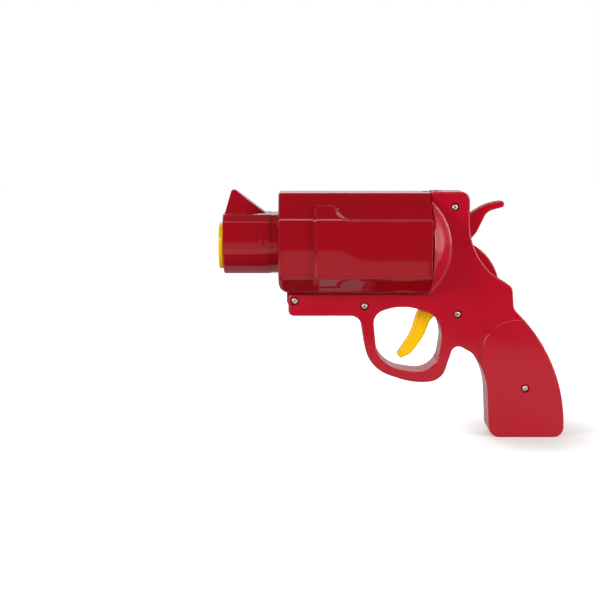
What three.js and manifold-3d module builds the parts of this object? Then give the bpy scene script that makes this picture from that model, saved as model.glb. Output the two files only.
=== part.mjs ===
// A revolver-shaped sauce dispenser in moulded plastic: two screwed frame halves with a pistol
// grip, a cylinder housing and barrel that tip open on a hinge, and a trigger that drives a
// plunger against the bellows of the sauce cartridge in the bore.
//
// Millimetres, +Z up. Every piece is drawn in side view: X runs from the muzzle (low) to the grip
// (high), Y is the thickness, and the left side of the gun is at -Y. X = 0 in the drawing lies
// just behind the barrel hinge, and the whole group is shifted at the end so that the origin is
// the middle of the bounding box, on the floor under the grip.

import * as THREE from 'three';
import { mergeVertices } from 'three/addons/utils/BufferGeometryUtils.js';
import Module from 'manifold-3d';

const wasm = await Module();
wasm.setup();

// ---------------------------------------------------------------- driving dimensions

const CLEARANCE = 0.3;            // gap between pieces that rest on or slide in each other
const ROOM = 0.4;                 // extra room on each side of a piece that swings in an opening
const PIVOT_GAP = 0.25;           // play between a piece and the axle it turns on
const THROUGH = 40;               // half the length of a cutter that goes right through the gun
const ARC_STEP = Math.PI / 10;    // the largest turn between two points of a rounded corner

// Frame halves
const FRAME_HALF_THICKNESS = 11;
const FRAME_WALL = 2.2;
const SEAM_HALF_GAP = 0.15;
const FRAME_FRONT_FACE = 91.6;    // X of the upright face behind the cylinder
const FRAME_TOP = 175.9;
const GRIP_PANEL_HEIGHT = 1.5;
const GRIP_PANEL_MARGIN = 0.8;    // how far the panel stays inside the frame's edge
const DOME_R = 42.7;              // the recoil shield is a ball of this radius on the bore axis
const DOME_CENTRE = 63.8;
const RIB = 1.8;
const AXLE_SEAT_R = 4.1;
const GRIP_BACK = 189.2;

// Bore: the axis that the barrel, cylinder, cartridge and plunger share
const BORE_Z = 137.2;

// Pivots and screws, as [X, Z]
const BARREL_HINGE = [-3.8, 98.5];
const LEVER_PIVOT = [105.3, 105.6];
const HAMMER_PIVOT = [108.4, 165.0];
const GUARD_SCREW = [45.7, 94.9];
const MIDDLE_SCREW = [111.7, 89.1];
const GRIP_SCREW = [160.7, 35.7];

// Screws
const SCREW_SHANK_R = 1.3;
const SCREW_HEAD_R = 2.5;
const SCREW_HEAD_HEIGHT = 1.8;
const SCREW_REACH = 6;            // how far the shank runs past the seam
const CROSS_HALF_LENGTH = 1.5;
const CROSS_HALF_WIDTH = 0.35;
const CROSS_DEPTH = 0.9;
const COUNTERBORE_R = 3.0;
const COUNTERBORE_DEPTH = 2.6;
const BOSS_R = 4.1;

// Cylinder housing and barrel
const HOUSING_FRONT = -15.1;
const HOUSING_REAR = 91.0;
const HOUSING_TOP = 175.5;
const HOUSING_BOTTOM = 104.9;
const HOUSING_WALL = 2.4;
const CHAMBER_R = 26.2;
const SLEEVE_R = 28.0;
const BULGE_FRONT = 10;
const HINGE_LUG_R = 5.5;
const HINGE_LUG_HALF = 5.5;
const HINGE_HOLE_R = 2.6;
const CATCH_HALF = 6;
const CATCH_FRONT = 82;
const CATCH_BOTTOM = 163;
const LATCH_SLOT = { front: 86, bottom: 167, top: 180 };
const BARREL_FRONT = -53.8;
const BARREL_NECK = -20.7;
const BARREL_R = 20;
const BARREL_WALL = 2.6;
const SIGHT_HALF = 12.6;         // at the foot of the sight; its sides lean in towards the top
const SIGHT_TOP_HALF = 3.3;
const MOUTH_R = 14.3;
const SPIGOT_R = 14.0;
const SPIGOT_BORE_R = 11.4;
const SPIGOT_END = -10.2;
const MUZZLE_RING_R = 16.4;
const MUZZLE_RING_FRONT = -57.0;
const MUZZLE_EDGE = 0.6;
const MUZZLE_MOUTH_R = 11.5;
const MUZZLE_PLUG_R = 14.0;
const MUZZLE_HOLE_R = 5.4;

// Firing parts
const LEVER_HALF = 4.2;
const LEVER_SECTOR_R = 36.7;
const LEVER_HUB_R = 7.5;
const LEVER_PAD = [96.2, BORE_Z]; // the round pad that pushes the plunger
const LEVER_PAD_R = 3.5;
const SPRING_PEG = [102.0, 119.6];
const TRIGGER_HALF = 3.3;
const TONGUE_HALF = 1.9;
const AXLE_R = 2.0;
const PLUNGER_R = 17;
const PLUNGER_FRONT = 90.4;
const PLUNGER_PLATE = 2.0;
const RAIL_INNER = 5.2;
const RAIL_OUTER = 7.4;
const RAIL_HALF_HEIGHT = 4;
const RAIL_END = 111;
const HAMMER_HALF = 4.0;
const HAMMER_HUB_R = 6.4;
const HAMMER_PIVOT_R = 3.6;
const HOOK_HALF = 2.9;
const LATCH_RADIUS = 118.5;       // the latch face is an arc of this radius about the barrel hinge

// Cartridge, along the bore
const NOZZLE_TIP = -53;
const NOZZLE_CONE = -9;
const NOZZLE_SHOULDER = 2.5;
const NOZZLE_END = 20;
const BOTTLE_END = 63.2;
const BELLOWS_START = 63.5;
const BELLOWS_END = 89.9;
const BOTTLE_R = 25.4;
const BOTTLE_WALL_R = 24.0;
const FOLD_INNER_R = 22.6;
const FOLD_OUTER_R = 25.3;
const BELLOWS_BORE_R = 21.4;
const BELLOWS_FLOOR = 1.4;

// ---------------------------------------------------------------- outlines, as [X, Z, corner radius]

const FRAME_OUTLINE = [
  [-8.3, 88.0, 4.0],
  [-8.3, 104.0, 3.5],
  [FRAME_FRONT_FACE, 104.0, 0.8],
  [FRAME_FRONT_FACE, FRAME_TOP, 0.8],
  [118.9, FRAME_TOP, 6.5],
  [118.8, 127.3, 49.0],
  [150.2, 108.6, 5.1],
  [151.5, 93.0, 8.0],
  [189.1, 55.6, 119.5],
  [GRIP_BACK, 0, 7.5],
  [135.9, 0, 8.0],
  [133.0, 47.9, 51.7],
  [122.3, 61.4, 12.0],
  [109.7, 68.3, 5.2],
  [101.2, 41.2, 15.8],
  [81.2, 39.1, 60.9],
  [48.7, 50.2, 26.3],
  [42.5, 88.0, 7.9],
];

const GUARD_WINDOW = [
  [71.7, 96.9, 50.5],
  [96.0, 88.6, 17.4],
  [101.3, 76.2, 31.2],
  [97.2, 46.9, 17.0],
  [80.8, 47.8, 40.0],
  [55.4, 51.6, 22.0],
  [51.7, 88.9, 12.7],
];

const GRIP_PANEL_ARCH = [
  [120, -5, 0],
  [127.8, 40, 0],
  [129.3, 85.9, 25.7],
  [200, 85.9, 0],
  [200, -5, 0],
];

const FRONT_SIGHT = [
  [-52.6, 158, 0],
  [-52.6, 160.8, 1.5],
  [-48.2, 176.9, 1.8],
  [-45.4, 176.9, 2.2],
  [-24.1, 160.8, 3.0],
  [-20, 158, 0],
];

const TRIGGER_BLADE = [
  [83.6, 90.0, 30],
  [79.6, 75.0, 30],
  [69.2, 59.0, 1.9],
  [72.4, 55.9, 1.9],
  [79.8, 59.6, 10],
  [88.2, 71.2, 24],
  [92.8, 83.4, 5],
  [104.2, 94.8, 2],
  [101.4, 98.4, 2],
  [88.4, 96.4, 6],
];

const TRIGGER_TONGUE = [
  [102.4, 118.8, 1.0],
  [108.2, 118.8, 1.0],
  [109.6, 104.0, 4],
  [104.2, 95.2, 1],
  [99.6, 95.4, 1],
  [101.2, 104.0, 4],
];

const LEVER_ARM = [
  [99.2, 109.6, 3],
  [97.8, 127.4, 4],
  [95.0, 134.0, 3],
  [97.0, 139.6, 2],
  [107.0, 128.0, 8],
  [112.0, 109.0, 3],
];

const HAMMER_BODY = [
  [107.5, 147.2, 1.5],
  [107.5, 160, 0],
  [104.0, 166.0, 2],
  [107.4, 171.2, 3],
  [113.4, 170.4, 3],
  [118.6, 159.6, 2],
  [132.6, 168.6, 34],
  [144.6, 169.2, 2.2],
  [143.6, 164.8, 1.6],
  [132.0, 161.6, 9],
  [124.9, 146.6, 12],
  [121.4, 142.4, 1.0],
];

const HAMMER_HOOK = [
  [103.4, 162.0, 0],
  [97.0, 167.4, 2],
  [86.4, 168.6, 0],
  [86.4, 174.9, 0],
  [97.4, 174.9, 0.5],
  [99.2, 171.4, 0],
  [108.4, 171.2, 0],
];

// ---------------------------------------------------------------- solids from three.js geometry

function solidOf(geometry) {
  const bare = geometry.clone();
  for (const name of Object.keys(bare.attributes)) {
    if (name !== 'position') bare.deleteAttribute(name);
  }
  const merged = mergeVertices(bare, 1e-4);
  const index = Array.from(merged.index.array);
  const triangles = [];
  for (let i = 0; i < index.length; i += 3) {
    const [a, b, c] = index.slice(i, i + 3);
    if (a !== b && b !== c && c !== a) triangles.push(a, b, c);
  }
  const mesh = new wasm.Mesh({
    numProp: 3,
    vertProperties: Float32Array.from(merged.attributes.position.array),
    triVerts: Uint32Array.from(triangles),
  });
  const solid = new wasm.Manifold(mesh);
  if (solid.volume() > 0) return solid;
  for (let i = 0; i < triangles.length; i += 3) {
    [triangles[i], triangles[i + 1]] = [triangles[i + 1], triangles[i]];
  }
  mesh.triVerts = Uint32Array.from(triangles);
  return new wasm.Manifold(mesh);
}

function geometryOf(solid) {
  const mesh = solid.getMesh();
  const geometry = new THREE.BufferGeometry();
  const positions = new Float32Array(mesh.numVert * 3);
  for (let i = 0; i < mesh.numVert; i += 1) {
    for (let k = 0; k < 3; k += 1) positions[i * 3 + k] = mesh.vertProperties[i * mesh.numProp + k];
  }
  geometry.setAttribute('position', new THREE.BufferAttribute(positions, 3));
  geometry.setIndex(new THREE.BufferAttribute(Uint32Array.from(mesh.triVerts), 1));
  geometry.computeVertexNormals();
  return geometry;
}

function joined(solids) {
  return solids.reduce((whole, piece) => whole.add(piece));
}

function cutBy(solid, cutters) {
  return cutters.reduce((left, cutter) => left.subtract(cutter), solid);
}

// Half the angle at each corner of an outline, and how far its rounding reaches along both edges.
// Two roundings that would meet on an edge are shortened to share it.
function roundings(corners) {
  const count = corners.length;
  const points = corners.map(([x, z]) => new THREE.Vector2(x, z));
  const halfAngles = points.map((corner, i) => {
    const before = points.at(i - 1).clone().sub(corner).normalize();
    const after = points[(i + 1) % count].clone().sub(corner).normalize();
    return Math.acos(THREE.MathUtils.clamp(before.dot(after), -1, 1)) / 2;
  });
  const reaches = corners.map(([, , radius], i) => radius / Math.tan(halfAngles[i]));
  const fitted = [...reaches];
  points.forEach((corner, i) => {
    const next = (i + 1) % count;
    const share = 0.99 * corner.distanceTo(points[next]) / (reaches[i] + reaches[next]);
    if (share >= 1) return;
    fitted[i] = Math.min(fitted[i], reaches[i] * share);
    fitted[next] = Math.min(fitted[next], reaches[next] * share);
  });
  return { points, halfAngles, reaches: fitted };
}

// The points of a closed outline whose corners are rounded by arcs.
function outlinePoints(corners) {
  const { points, halfAngles, reaches } = roundings(corners);
  const rounded = [];
  points.forEach((corner, i) => {
    const halfAngle = halfAngles[i];
    if (reaches[i] === 0 || Math.PI / 2 - halfAngle < 0.01) {
      rounded.push(corner);
      return;
    }
    const before = points.at(i - 1).clone().sub(corner).normalize();
    const after = points[(i + 1) % points.length].clone().sub(corner).normalize();
    const centre = before.clone().add(after).setLength(reaches[i] / Math.cos(halfAngle)).add(corner);
    const start = before.clone().multiplyScalar(reaches[i]).add(corner).sub(centre);
    const turn = (Math.PI - 2 * halfAngle) * Math.sign(before.cross(after));
    const steps = Math.max(1, Math.ceil(Math.abs(turn) / ARC_STEP));
    for (let k = 0; k <= steps; k += 1) {
      rounded.push(start.clone().rotateAround(new THREE.Vector2(), -turn * k / steps).add(centre));
    }
  });
  return rounded;
}

function signedArea(corners) {
  return THREE.ShapeUtils.area(corners.map(([x, z]) => new THREE.Vector2(x, z)));
}

// The same outline moved inwards by a distance, or outwards if it is negative.
function inset(corners, distance) {
  const inward = Math.sign(signedArea(corners)) * distance;
  const edge = (from, to) => {
    const start = new THREE.Vector2(from[0], from[1]);
    const along = new THREE.Vector2(to[0], to[1]).sub(start).normalize();
    const normal = new THREE.Vector2(-along.y, along.x);
    return { start: start.addScaledVector(normal, inward), along };
  };
  return corners.map((corner, i) => {
    const first = edge(corners.at(i - 1), corner);
    const second = edge(corner, corners[(i + 1) % corners.length]);
    const turn = first.along.cross(second.along);
    const between = second.start.clone().sub(first.start);
    const moved = first.start.clone().addScaledVector(first.along, between.cross(second.along) / turn);
    const bulges = Math.sign(turn) === Math.sign(signedArea(corners));
    const radius = corner[2] + (bulges ? -distance : distance);
    return [moved.x, moved.y, Math.max(radius, 0.4)];
  });
}

// A side-view outline given thickness, from y0 to y1.
function plate(corners, y0, y1) {
  const shape = new THREE.Shape(outlinePoints(corners));
  const depth = Math.abs(y1 - y0);
  const geometry = new THREE.ExtrudeGeometry(shape, { depth, bevelEnabled: false });
  geometry.rotateX(Math.PI / 2);
  geometry.translate(0, Math.max(y0, y1), 0);
  return solidOf(geometry);
}

// A cross-section in Y and Z given length, from x0 to x1.
function prism(corners, x0, x1) {
  const shape = new THREE.Shape(outlinePoints(corners));
  const geometry = new THREE.ExtrudeGeometry(shape, { depth: x1 - x0, bevelEnabled: false });
  const axes = [new THREE.Vector3(0, 1, 0), new THREE.Vector3(0, 0, 1), new THREE.Vector3(1, 0, 0)];
  geometry.applyMatrix4(new THREE.Matrix4().makeBasis(...axes));
  geometry.translate(x0, 0, 0);
  return solidOf(geometry);
}

// A profile of [X, radius] points turned about the bore axis.
function turned(profile, segments = 32) {
  const points = profile.map(([x, r]) => new THREE.Vector2(r, x));
  const geometry = new THREE.LatheGeometry(points, segments);
  geometry.rotateZ(-Math.PI / 2);
  geometry.translate(0, 0, BORE_Z);
  return solidOf(geometry);
}

// A round bar along the bore axis, from x0 to x1.
function boreBar(radius, x0, x1, segments = 32) {
  return turned([[x0, 0], [x0, radius], [x1, radius], [x1, 0]], segments);
}

function box(x0, x1, y0, y1, z0, z1) {
  const geometry = new THREE.BoxGeometry(x1 - x0, Math.abs(y1 - y0), z1 - z0);
  geometry.translate((x0 + x1) / 2, (y0 + y1) / 2, (z0 + z1) / 2);
  return solidOf(geometry);
}

// A round bar across the gun, from y0 to y1.
function crossBar([x, z], radius, y0, y1, segments = 16) {
  const geometry = new THREE.CylinderGeometry(radius, radius, Math.abs(y1 - y0), segments);
  geometry.translate(x, (y0 + y1) / 2, z);
  return solidOf(geometry);
}

// ---------------------------------------------------------------- frame halves

const screws = {
  screw_hinge: { at: BARREL_HINGE, neckR: HINGE_HOLE_R, neckTo: 5.9, face: FRAME_HALF_THICKNESS },
  screw_guard: { at: GUARD_SCREW, neckR: 3.4, neckTo: 4, face: FRAME_HALF_THICKNESS },
  screw_middle: { at: MIDDLE_SCREW, neckR: 3.4, neckTo: 4, face: FRAME_HALF_THICKNESS },
  screw_hammer: { at: HAMMER_PIVOT, neckR: HAMMER_PIVOT_R, neckTo: 4.3, face: FRAME_HALF_THICKNESS },
  screw_grip: { at: GRIP_SCREW, neckR: 3.4, neckTo: 4, face: FRAME_HALF_THICKNESS + GRIP_PANEL_HEIGHT },
};

// A screw boss: wide by the wall, and a narrower neck that a pivoting piece can turn on.
function boss({ at, neckR, neckTo }, side) {
  return joined([
    crossBar(at, neckR, side * SEAM_HALF_GAP, side * (neckTo + 1)),
    crossBar(at, BOSS_R, side * neckTo, side * (FRAME_HALF_THICKNESS - 0.5)),
  ]);
}

// The hole through a boss: the left half takes the head, the right half is blind.
function screwHole({ at, face }, side) {
  const holeR = SCREW_SHANK_R + CLEARANCE;
  if (side > 0) return crossBar(at, holeR, -1, SCREW_REACH + 1, 16);
  return joined([
    crossBar(at, holeR, 1, -face - 1, 16),
    crossBar(at, COUNTERBORE_R, -(face - COUNTERBORE_DEPTH), -face - 1),
  ]);
}

function recoilDome(side, shrink, front) {
  const geometry = new THREE.SphereGeometry(DOME_R - shrink, 32, 18);
  geometry.translate(DOME_CENTRE, 0, BORE_Z);
  const half = box(front, front + DOME_R, side * SEAM_HALF_GAP, side * 60, BORE_Z - 50, BORE_Z + 50);
  return solidOf(geometry).intersect(half);
}

function gripPanel(side) {
  const y0 = side * (FRAME_HALF_THICKNESS - 1);
  const y1 = side * (FRAME_HALF_THICKNESS + GRIP_PANEL_HEIGHT);
  return plate(inset(FRAME_OUTLINE, GRIP_PANEL_MARGIN), y0, y1).intersect(plate(GRIP_PANEL_ARCH, y0, y1));
}

// Ribs inside a half, before they are trimmed to its outer shape.
function frameRibs(side) {
  const railTop = BORE_Z + RAIL_HALF_HEIGHT + CLEARANCE;
  const railBottom = BORE_Z - RAIL_HALF_HEIGHT - CLEARANCE;
  const besideLever = side * (LEVER_HALF + 0.7);
  const inWall = side * (FRAME_HALF_THICKNESS - 1);
  const railGuides = [railTop, railBottom - RIB].map((bottom) => (
    box(96, 103, besideLever, side * THROUGH, bottom, bottom + RIB)));
  const hammerSpringStop = box(97, 98.6, side * SEAM_HALF_GAP, side * THROUGH, 148, 156.5);
  const axleSeat = crossBar(LEVER_PIVOT, AXLE_SEAT_R, side * 5, inWall);
  const ribs = [...railGuides, hammerSpringStop, axleSeat];
  const triggerSpringStop = [112, 116, besideLever, inWall, 101.5, 103.5];
  if (side > 0) ribs.push(box(...triggerSpringStop));
  return joined(ribs);
}

// Everything cut out of the walls where another piece comes through or moves.
function frameOpenings() {
  const lug = HINGE_LUG_HALF + ROOM;
  const lever = LEVER_HALF + ROOM;
  const blade = TRIGGER_HALF + ROOM;
  const spur = HAMMER_HALF + ROOM;
  const hook = HOOK_HALF + ROOM;
  const frontWall = [FRAME_FRONT_FACE - 1.6, FRAME_FRONT_FACE + 3.4];
  const hingeRoom = crossBar(BARREL_HINGE, 9.0, -lug, lug, 40);
  const leverRoom = crossBar(LEVER_PIVOT, LEVER_SECTOR_R + 0.6, -lever, lever, 64);
  return [
    hingeRoom.intersect(box(-20, 20, -lug, lug, 92.4, 120)),
    leverRoom.intersect(box(114, 146, -lever, lever, 104, 144)),
    box(82.5, 109, -blade, blade, 77, 98.5),
    box(114, 126, -spur, spur, 139.5, 163.5),
    box(FRAME_FRONT_FACE - 1.6, 100.4, -hook, hook, 167.5, 180),
    boreBar(PLUNGER_R + 0.6, ...frontWall),
    box(...frontWall, -lever, lever, 112, 125),
  ];
}

function frameHalf(side) {
  const outer = joined([
    plate(FRAME_OUTLINE, side * SEAM_HALF_GAP, side * FRAME_HALF_THICKNESS),
    gripPanel(side),
    recoilDome(side, 0, FRAME_FRONT_FACE),
  ]).subtract(plate(GUARD_WINDOW, -THROUGH, THROUGH));
  const hollow = plate(inset(FRAME_OUTLINE, FRAME_WALL), 0, side * (FRAME_HALF_THICKNESS - FRAME_WALL))
    .subtract(plate(inset(GUARD_WINDOW, -FRAME_WALL), -THROUGH, THROUGH))
    .add(recoilDome(side, FRAME_WALL, FRAME_FRONT_FACE + FRAME_WALL));
  const shell = cutBy(outer.subtract(hollow), frameOpenings());
  const bosses = Object.values(screws).map((screw) => boss(screw, side));
  const fittings = joined([frameRibs(side), ...bosses]).intersect(outer);
  const axleHole = crossBar(LEVER_PIVOT, AXLE_R + CLEARANCE, -8.7, 8.7);
  const holes = Object.values(screws).map((screw) => screwHole(screw, side));
  return cutBy(shell.add(fittings), [axleHole, ...holes]);
}

function screwBody({ at: [x, z], face }) {
  const headBottom = -(face - COUNTERBORE_DEPTH) - CLEARANCE / 2;
  const headTop = headBottom - SCREW_HEAD_HEIGHT;
  const head = crossBar([x, z], SCREW_HEAD_R, headBottom, headTop, 20);
  const shank = crossBar([x, z], SCREW_SHANK_R, headBottom - 0.1, SCREW_REACH, 12);
  const cross = [[CROSS_HALF_LENGTH, CROSS_HALF_WIDTH], [CROSS_HALF_WIDTH, CROSS_HALF_LENGTH]];
  return cutBy(head.add(shank), cross.map(([halfX, halfZ]) => (
    box(x - halfX, x + halfX, headTop - 1, headTop + CROSS_DEPTH, z - halfZ, z + halfZ))));
}

// ---------------------------------------------------------------- cylinder housing and barrel

// Mirrors half of a cross-section, given from the top centre to the bottom centre.
function symmetricSection(rightHalf) {
  const leftHalf = rightHalf.map(([y, z, r]) => [-y, z, r]).reverse();
  return [...rightHalf, ...leftHalf];
}

const HOUSING_SECTION = symmetricSection([
  [10, HOUSING_TOP, 1.5],
  [29, 158.4, 2],
  [29, 117.3, 2],
  [15, HOUSING_BOTTOM, 1.5],
]);

const BULGE_SECTION = symmetricSection([
  [18.8, 162.1, 0],
  [23.5, 167.3, 0.6],
  [33, 158.4, 1.5],
  [33, 117.3, 1.5],
  [22.5, 109.8, 1.5],
]);

const HOUSING_SIDE = [
  [HOUSING_FRONT, HOUSING_BOTTOM, 8],
  [HOUSING_FRONT, HOUSING_TOP, 2],
  [HOUSING_REAR, HOUSING_TOP, 0.6],
  [HOUSING_REAR, HOUSING_BOTTOM, 0.6],
];

const UPPER_FLUTE = { y: 31.3, z: 174.0, radius: 16 };
const LOWER_FLUTE = { y: 32.0, z: 101.8, radius: 15 };
const FLUTE_FRONT = 20;

// A groove along the cylinder with a ball-shaped front end, open at the rear.
function flute({ y: distance, z, radius }, side) {
  const y = side * distance;
  const centre = FLUTE_FRONT + radius;
  const length = 100;
  const bar = new THREE.CylinderGeometry(radius, radius, length, 32);
  bar.rotateZ(Math.PI / 2);
  bar.translate(centre + length / 2, y, z);
  const ball = new THREE.SphereGeometry(radius, 32, 16);
  ball.rotateZ(Math.PI / 2);
  ball.translate(centre, y, z);
  return solidOf(bar).add(solidOf(ball));
}

// The chamber widens in steps: the front opening, the nozzle's cone, its skirt, then the bottle.
const CHAMBER_STEPS = [
  [HOUSING_FRONT - 1, MOUTH_R],
  [-9.7, MOUTH_R],
  [-9.7, 8.6],
  [-8.5, 8.6],
  [NOZZLE_SHOULDER - 0.2, 22.4],
  [NOZZLE_END - 0.8, 22.6],
  [NOZZLE_END - 0.4, CHAMBER_R],
  [HOUSING_REAR + 1, CHAMBER_R],
];

function housingOutside() {
  const flutes = [UPPER_FLUTE, LOWER_FLUTE].flatMap((groove) => [flute(groove, 1), flute(groove, -1)]);
  return prism(HOUSING_SECTION, HOUSING_FRONT, HOUSING_REAR)
    .intersect(plate(HOUSING_SIDE, -THROUGH, THROUGH))
    .add(cutBy(prism(BULGE_SECTION, BULGE_FRONT, HOUSING_REAR), flutes));
}

// The hollow between the outer wall and the sleeve, open at the rear.
function housingPockets() {
  const frontWall = 4;
  const side = inset(HOUSING_SIDE, 3).map(([x, z, r]) => [x > BULGE_FRONT ? x + 20 : x, z, r]);
  return prism(inset(HOUSING_SECTION, HOUSING_WALL), HOUSING_FRONT + frontWall, HOUSING_REAR + 5)
    .intersect(plate(side, -THROUGH, THROUGH));
}

function hingeLug() {
  const [x, z] = BARREL_HINGE;
  return joined([
    crossBar(BARREL_HINGE, HINGE_LUG_R, -HINGE_LUG_HALF, HINGE_LUG_HALF, 32),
    box(x - HINGE_LUG_R, x + HINGE_LUG_R, -HINGE_LUG_HALF, HINGE_LUG_HALF, z, HOUSING_BOTTOM + 2.5),
  ]);
}

function latchNotch() {
  const { front, bottom, top } = LATCH_SLOT;
  const hook = HOOK_HALF + ROOM;
  return box(front, HOUSING_REAR + 1, -hook, hook, bottom, top)
    .subtract(crossBar(BARREL_HINGE, LATCH_RADIUS - 0.2, -10, 10, 360));
}

function cylinderHousing() {
  const sleeve = boreBar(SLEEVE_R, HOUSING_FRONT + 3, HOUSING_REAR, 48);
  const catchTop = HOUSING_TOP - 0.5;
  const catchBlock = box(CATCH_FRONT, HOUSING_REAR, -CATCH_HALF, CATCH_HALF, CATCH_BOTTOM, catchTop);
  const shell = joined([housingOutside().subtract(housingPockets()), sleeve, catchBlock, hingeLug()]);
  const chamber = turned([[HOUSING_FRONT - 1, 0], ...CHAMBER_STEPS, [HOUSING_REAR + 1, 0]], 48);
  const hingeHole = crossBar(BARREL_HINGE, HINGE_HOLE_R + CLEARANCE, -THROUGH, THROUGH);
  return cutBy(shell, [chamber, latchNotch(), hingeHole]);
}

const BARREL_SECTION = symmetricSection([
  [13, 160.8, 1.0],
  [BARREL_R, 156.0, 1.0],
  [BARREL_R, BORE_Z - BARREL_R, BARREL_R - 0.01],
]);

const SIGHT_SECTION = symmetricSection([
  [SIGHT_TOP_HALF, 177, 0],
  [SIGHT_HALF, 160.8, 0],
  [SIGHT_HALF, 157, 0],
]);

function frontSight() {
  return plate(FRONT_SIGHT, -SIGHT_HALF, SIGHT_HALF)
    .intersect(prism(SIGHT_SECTION, BARREL_FRONT, HOUSING_FRONT));
}

function barrel() {
  const tube = prism(BARREL_SECTION, BARREL_FRONT, BARREL_NECK);
  const neck = prism(inset(BARREL_SECTION, 0.5), BARREL_NECK - 1, HOUSING_FRONT - CLEARANCE);
  const inside = inset(BARREL_SECTION, BARREL_WALL);
  const hollow = prism(inside, BARREL_FRONT + BARREL_WALL, HOUSING_FRONT - 3);
  const mouth = boreBar(MOUTH_R, BARREL_FRONT - 1, BARREL_FRONT + 4);
  const spigot = boreBar(SPIGOT_R, HOUSING_FRONT - 4, SPIGOT_END);
  const spigotBore = boreBar(SPIGOT_BORE_R, HOUSING_FRONT - 5, SPIGOT_END + 1);
  const skin = joined([tube, neck, frontSight()]).subtract(hollow);
  return cutBy(skin.add(spigot), [mouth, spigotBore]);
}

function muzzleRing() {
  const collarBack = BARREL_FRONT - CLEARANCE;
  const plugBack = BARREL_FRONT + 6;
  return turned([
    [MUZZLE_RING_FRONT, MUZZLE_MOUTH_R],
    [MUZZLE_RING_FRONT, MUZZLE_RING_R - MUZZLE_EDGE],
    [MUZZLE_RING_FRONT + MUZZLE_EDGE, MUZZLE_RING_R],
    [collarBack, MUZZLE_RING_R],
    [collarBack, MUZZLE_PLUG_R],
    [plugBack, MUZZLE_PLUG_R],
    [plugBack, MUZZLE_HOLE_R],
    [BARREL_FRONT + 1, MUZZLE_HOLE_R],
    [MUZZLE_RING_FRONT, MUZZLE_MOUTH_R],
  ]);
}

// ---------------------------------------------------------------- firing parts

function trigger() {
  const blade = plate(TRIGGER_BLADE, -TRIGGER_HALF, TRIGGER_HALF)
    .subtract(crossBar(LEVER_PIVOT, LEVER_HUB_R + 0.9, -THROUGH, THROUGH, 32));
  const tongue = plate(TRIGGER_TONGUE, -TONGUE_HALF, TONGUE_HALF);
  return blade.add(tongue).subtract(crossBar(LEVER_PIVOT, AXLE_R + PIVOT_GAP, -THROUGH, THROUGH));
}

// The sector of a disc about the lever pivot, between two angles in degrees.
function leverSector(from, to) {
  const pivot = new THREE.Vector2(...LEVER_PIVOT);
  const steps = 16;
  const points = [pivot];
  for (let k = 0; k <= steps; k += 1) {
    const angle = THREE.MathUtils.degToRad(THREE.MathUtils.lerp(from, to, k / steps));
    points.push(new THREE.Vector2(LEVER_SECTOR_R, 0).rotateAround(new THREE.Vector2(), angle).add(pivot));
  }
  return plate(points.map(({ x, y }) => [x, y, 0]), -LEVER_HALF, LEVER_HALF);
}

function pushLever() {
  const body = joined([
    leverSector(-5, 63),
    crossBar(LEVER_PIVOT, LEVER_HUB_R, -LEVER_HALF, LEVER_HALF, 32),
    plate(LEVER_ARM, -LEVER_HALF, LEVER_HALF),
    crossBar(LEVER_PAD, LEVER_PAD_R, -LEVER_HALF, LEVER_HALF, 32),
    crossBar(SPRING_PEG, 1, 0, LEVER_HALF + 2, 16),
  ]);
  const slotHalf = TONGUE_HALF + CLEARANCE;
  const tongueSlot = plate(inset(TRIGGER_TONGUE, -CLEARANCE), -slotHalf, slotHalf);
  return cutBy(body, [tongueSlot, crossBar(LEVER_PIVOT, AXLE_R + PIVOT_GAP, -THROUGH, THROUGH)]);
}

function plunger() {
  const back = PLUNGER_FRONT + PLUNGER_PLATE;
  const rails = [-1, 1].map((side) => box(back - 1, RAIL_END, side * RAIL_INNER, side * RAIL_OUTER,
    BORE_Z - RAIL_HALF_HEIGHT, BORE_Z + RAIL_HALF_HEIGHT));
  return joined([boreBar(PLUNGER_R, PLUNGER_FRONT, back), ...rails]);
}

function hammer() {
  const hook = plate(HAMMER_HOOK, -HOOK_HALF, HOOK_HALF)
    .subtract(crossBar(BARREL_HINGE, LATCH_RADIUS + 0.2, -10, 10, 360));
  const ridge = box(95.4, 96.8, -HOOK_HALF, HOOK_HALF, FRAME_TOP - 1.4, FRAME_TOP + 0.6);
  const hub = crossBar(HAMMER_PIVOT, HAMMER_HUB_R, -HAMMER_HALF, HAMMER_HALF, 32);
  const body = joined([plate(HAMMER_BODY, -HAMMER_HALF, HAMMER_HALF), hub, hook, ridge]);
  return body.subtract(crossBar(HAMMER_PIVOT, HAMMER_PIVOT_R + CLEARANCE, -THROUGH, THROUGH));
}

// ---------------------------------------------------------------- springs

// A round wire swept along a curve, as a closed solid.
function wire(curve, radius, steps) {
  const section = new THREE.Shape();
  section.absarc(0, 0, radius, 0, Math.PI * 2, false);
  return new THREE.ExtrudeGeometry(section, { steps, extrudePath: curve, curveSegments: 3 });
}

// A coil spring along X, at height z on the middle plane.
class CoilAlongX extends THREE.Curve {
  constructor(x0, x1, z, radius, turns) {
    super();
    Object.assign(this, { x0, x1, z, radius, turns });
  }

  getPoint(t, target = new THREE.Vector3()) {
    const angle = t * this.turns * Math.PI * 2;
    const x = THREE.MathUtils.lerp(this.x0, this.x1, t);
    return target.set(x, this.radius * Math.cos(angle), this.z + this.radius * Math.sin(angle));
  }
}

function hammerSpring() {
  const [start, end, z, coilR, turns, wireR] = [99.4, 106.8, 152.2, 2.3, 4, 0.35];
  return wire(new CoilAlongX(start, end, z, coilR, turns), wireR, 48);
}

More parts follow.
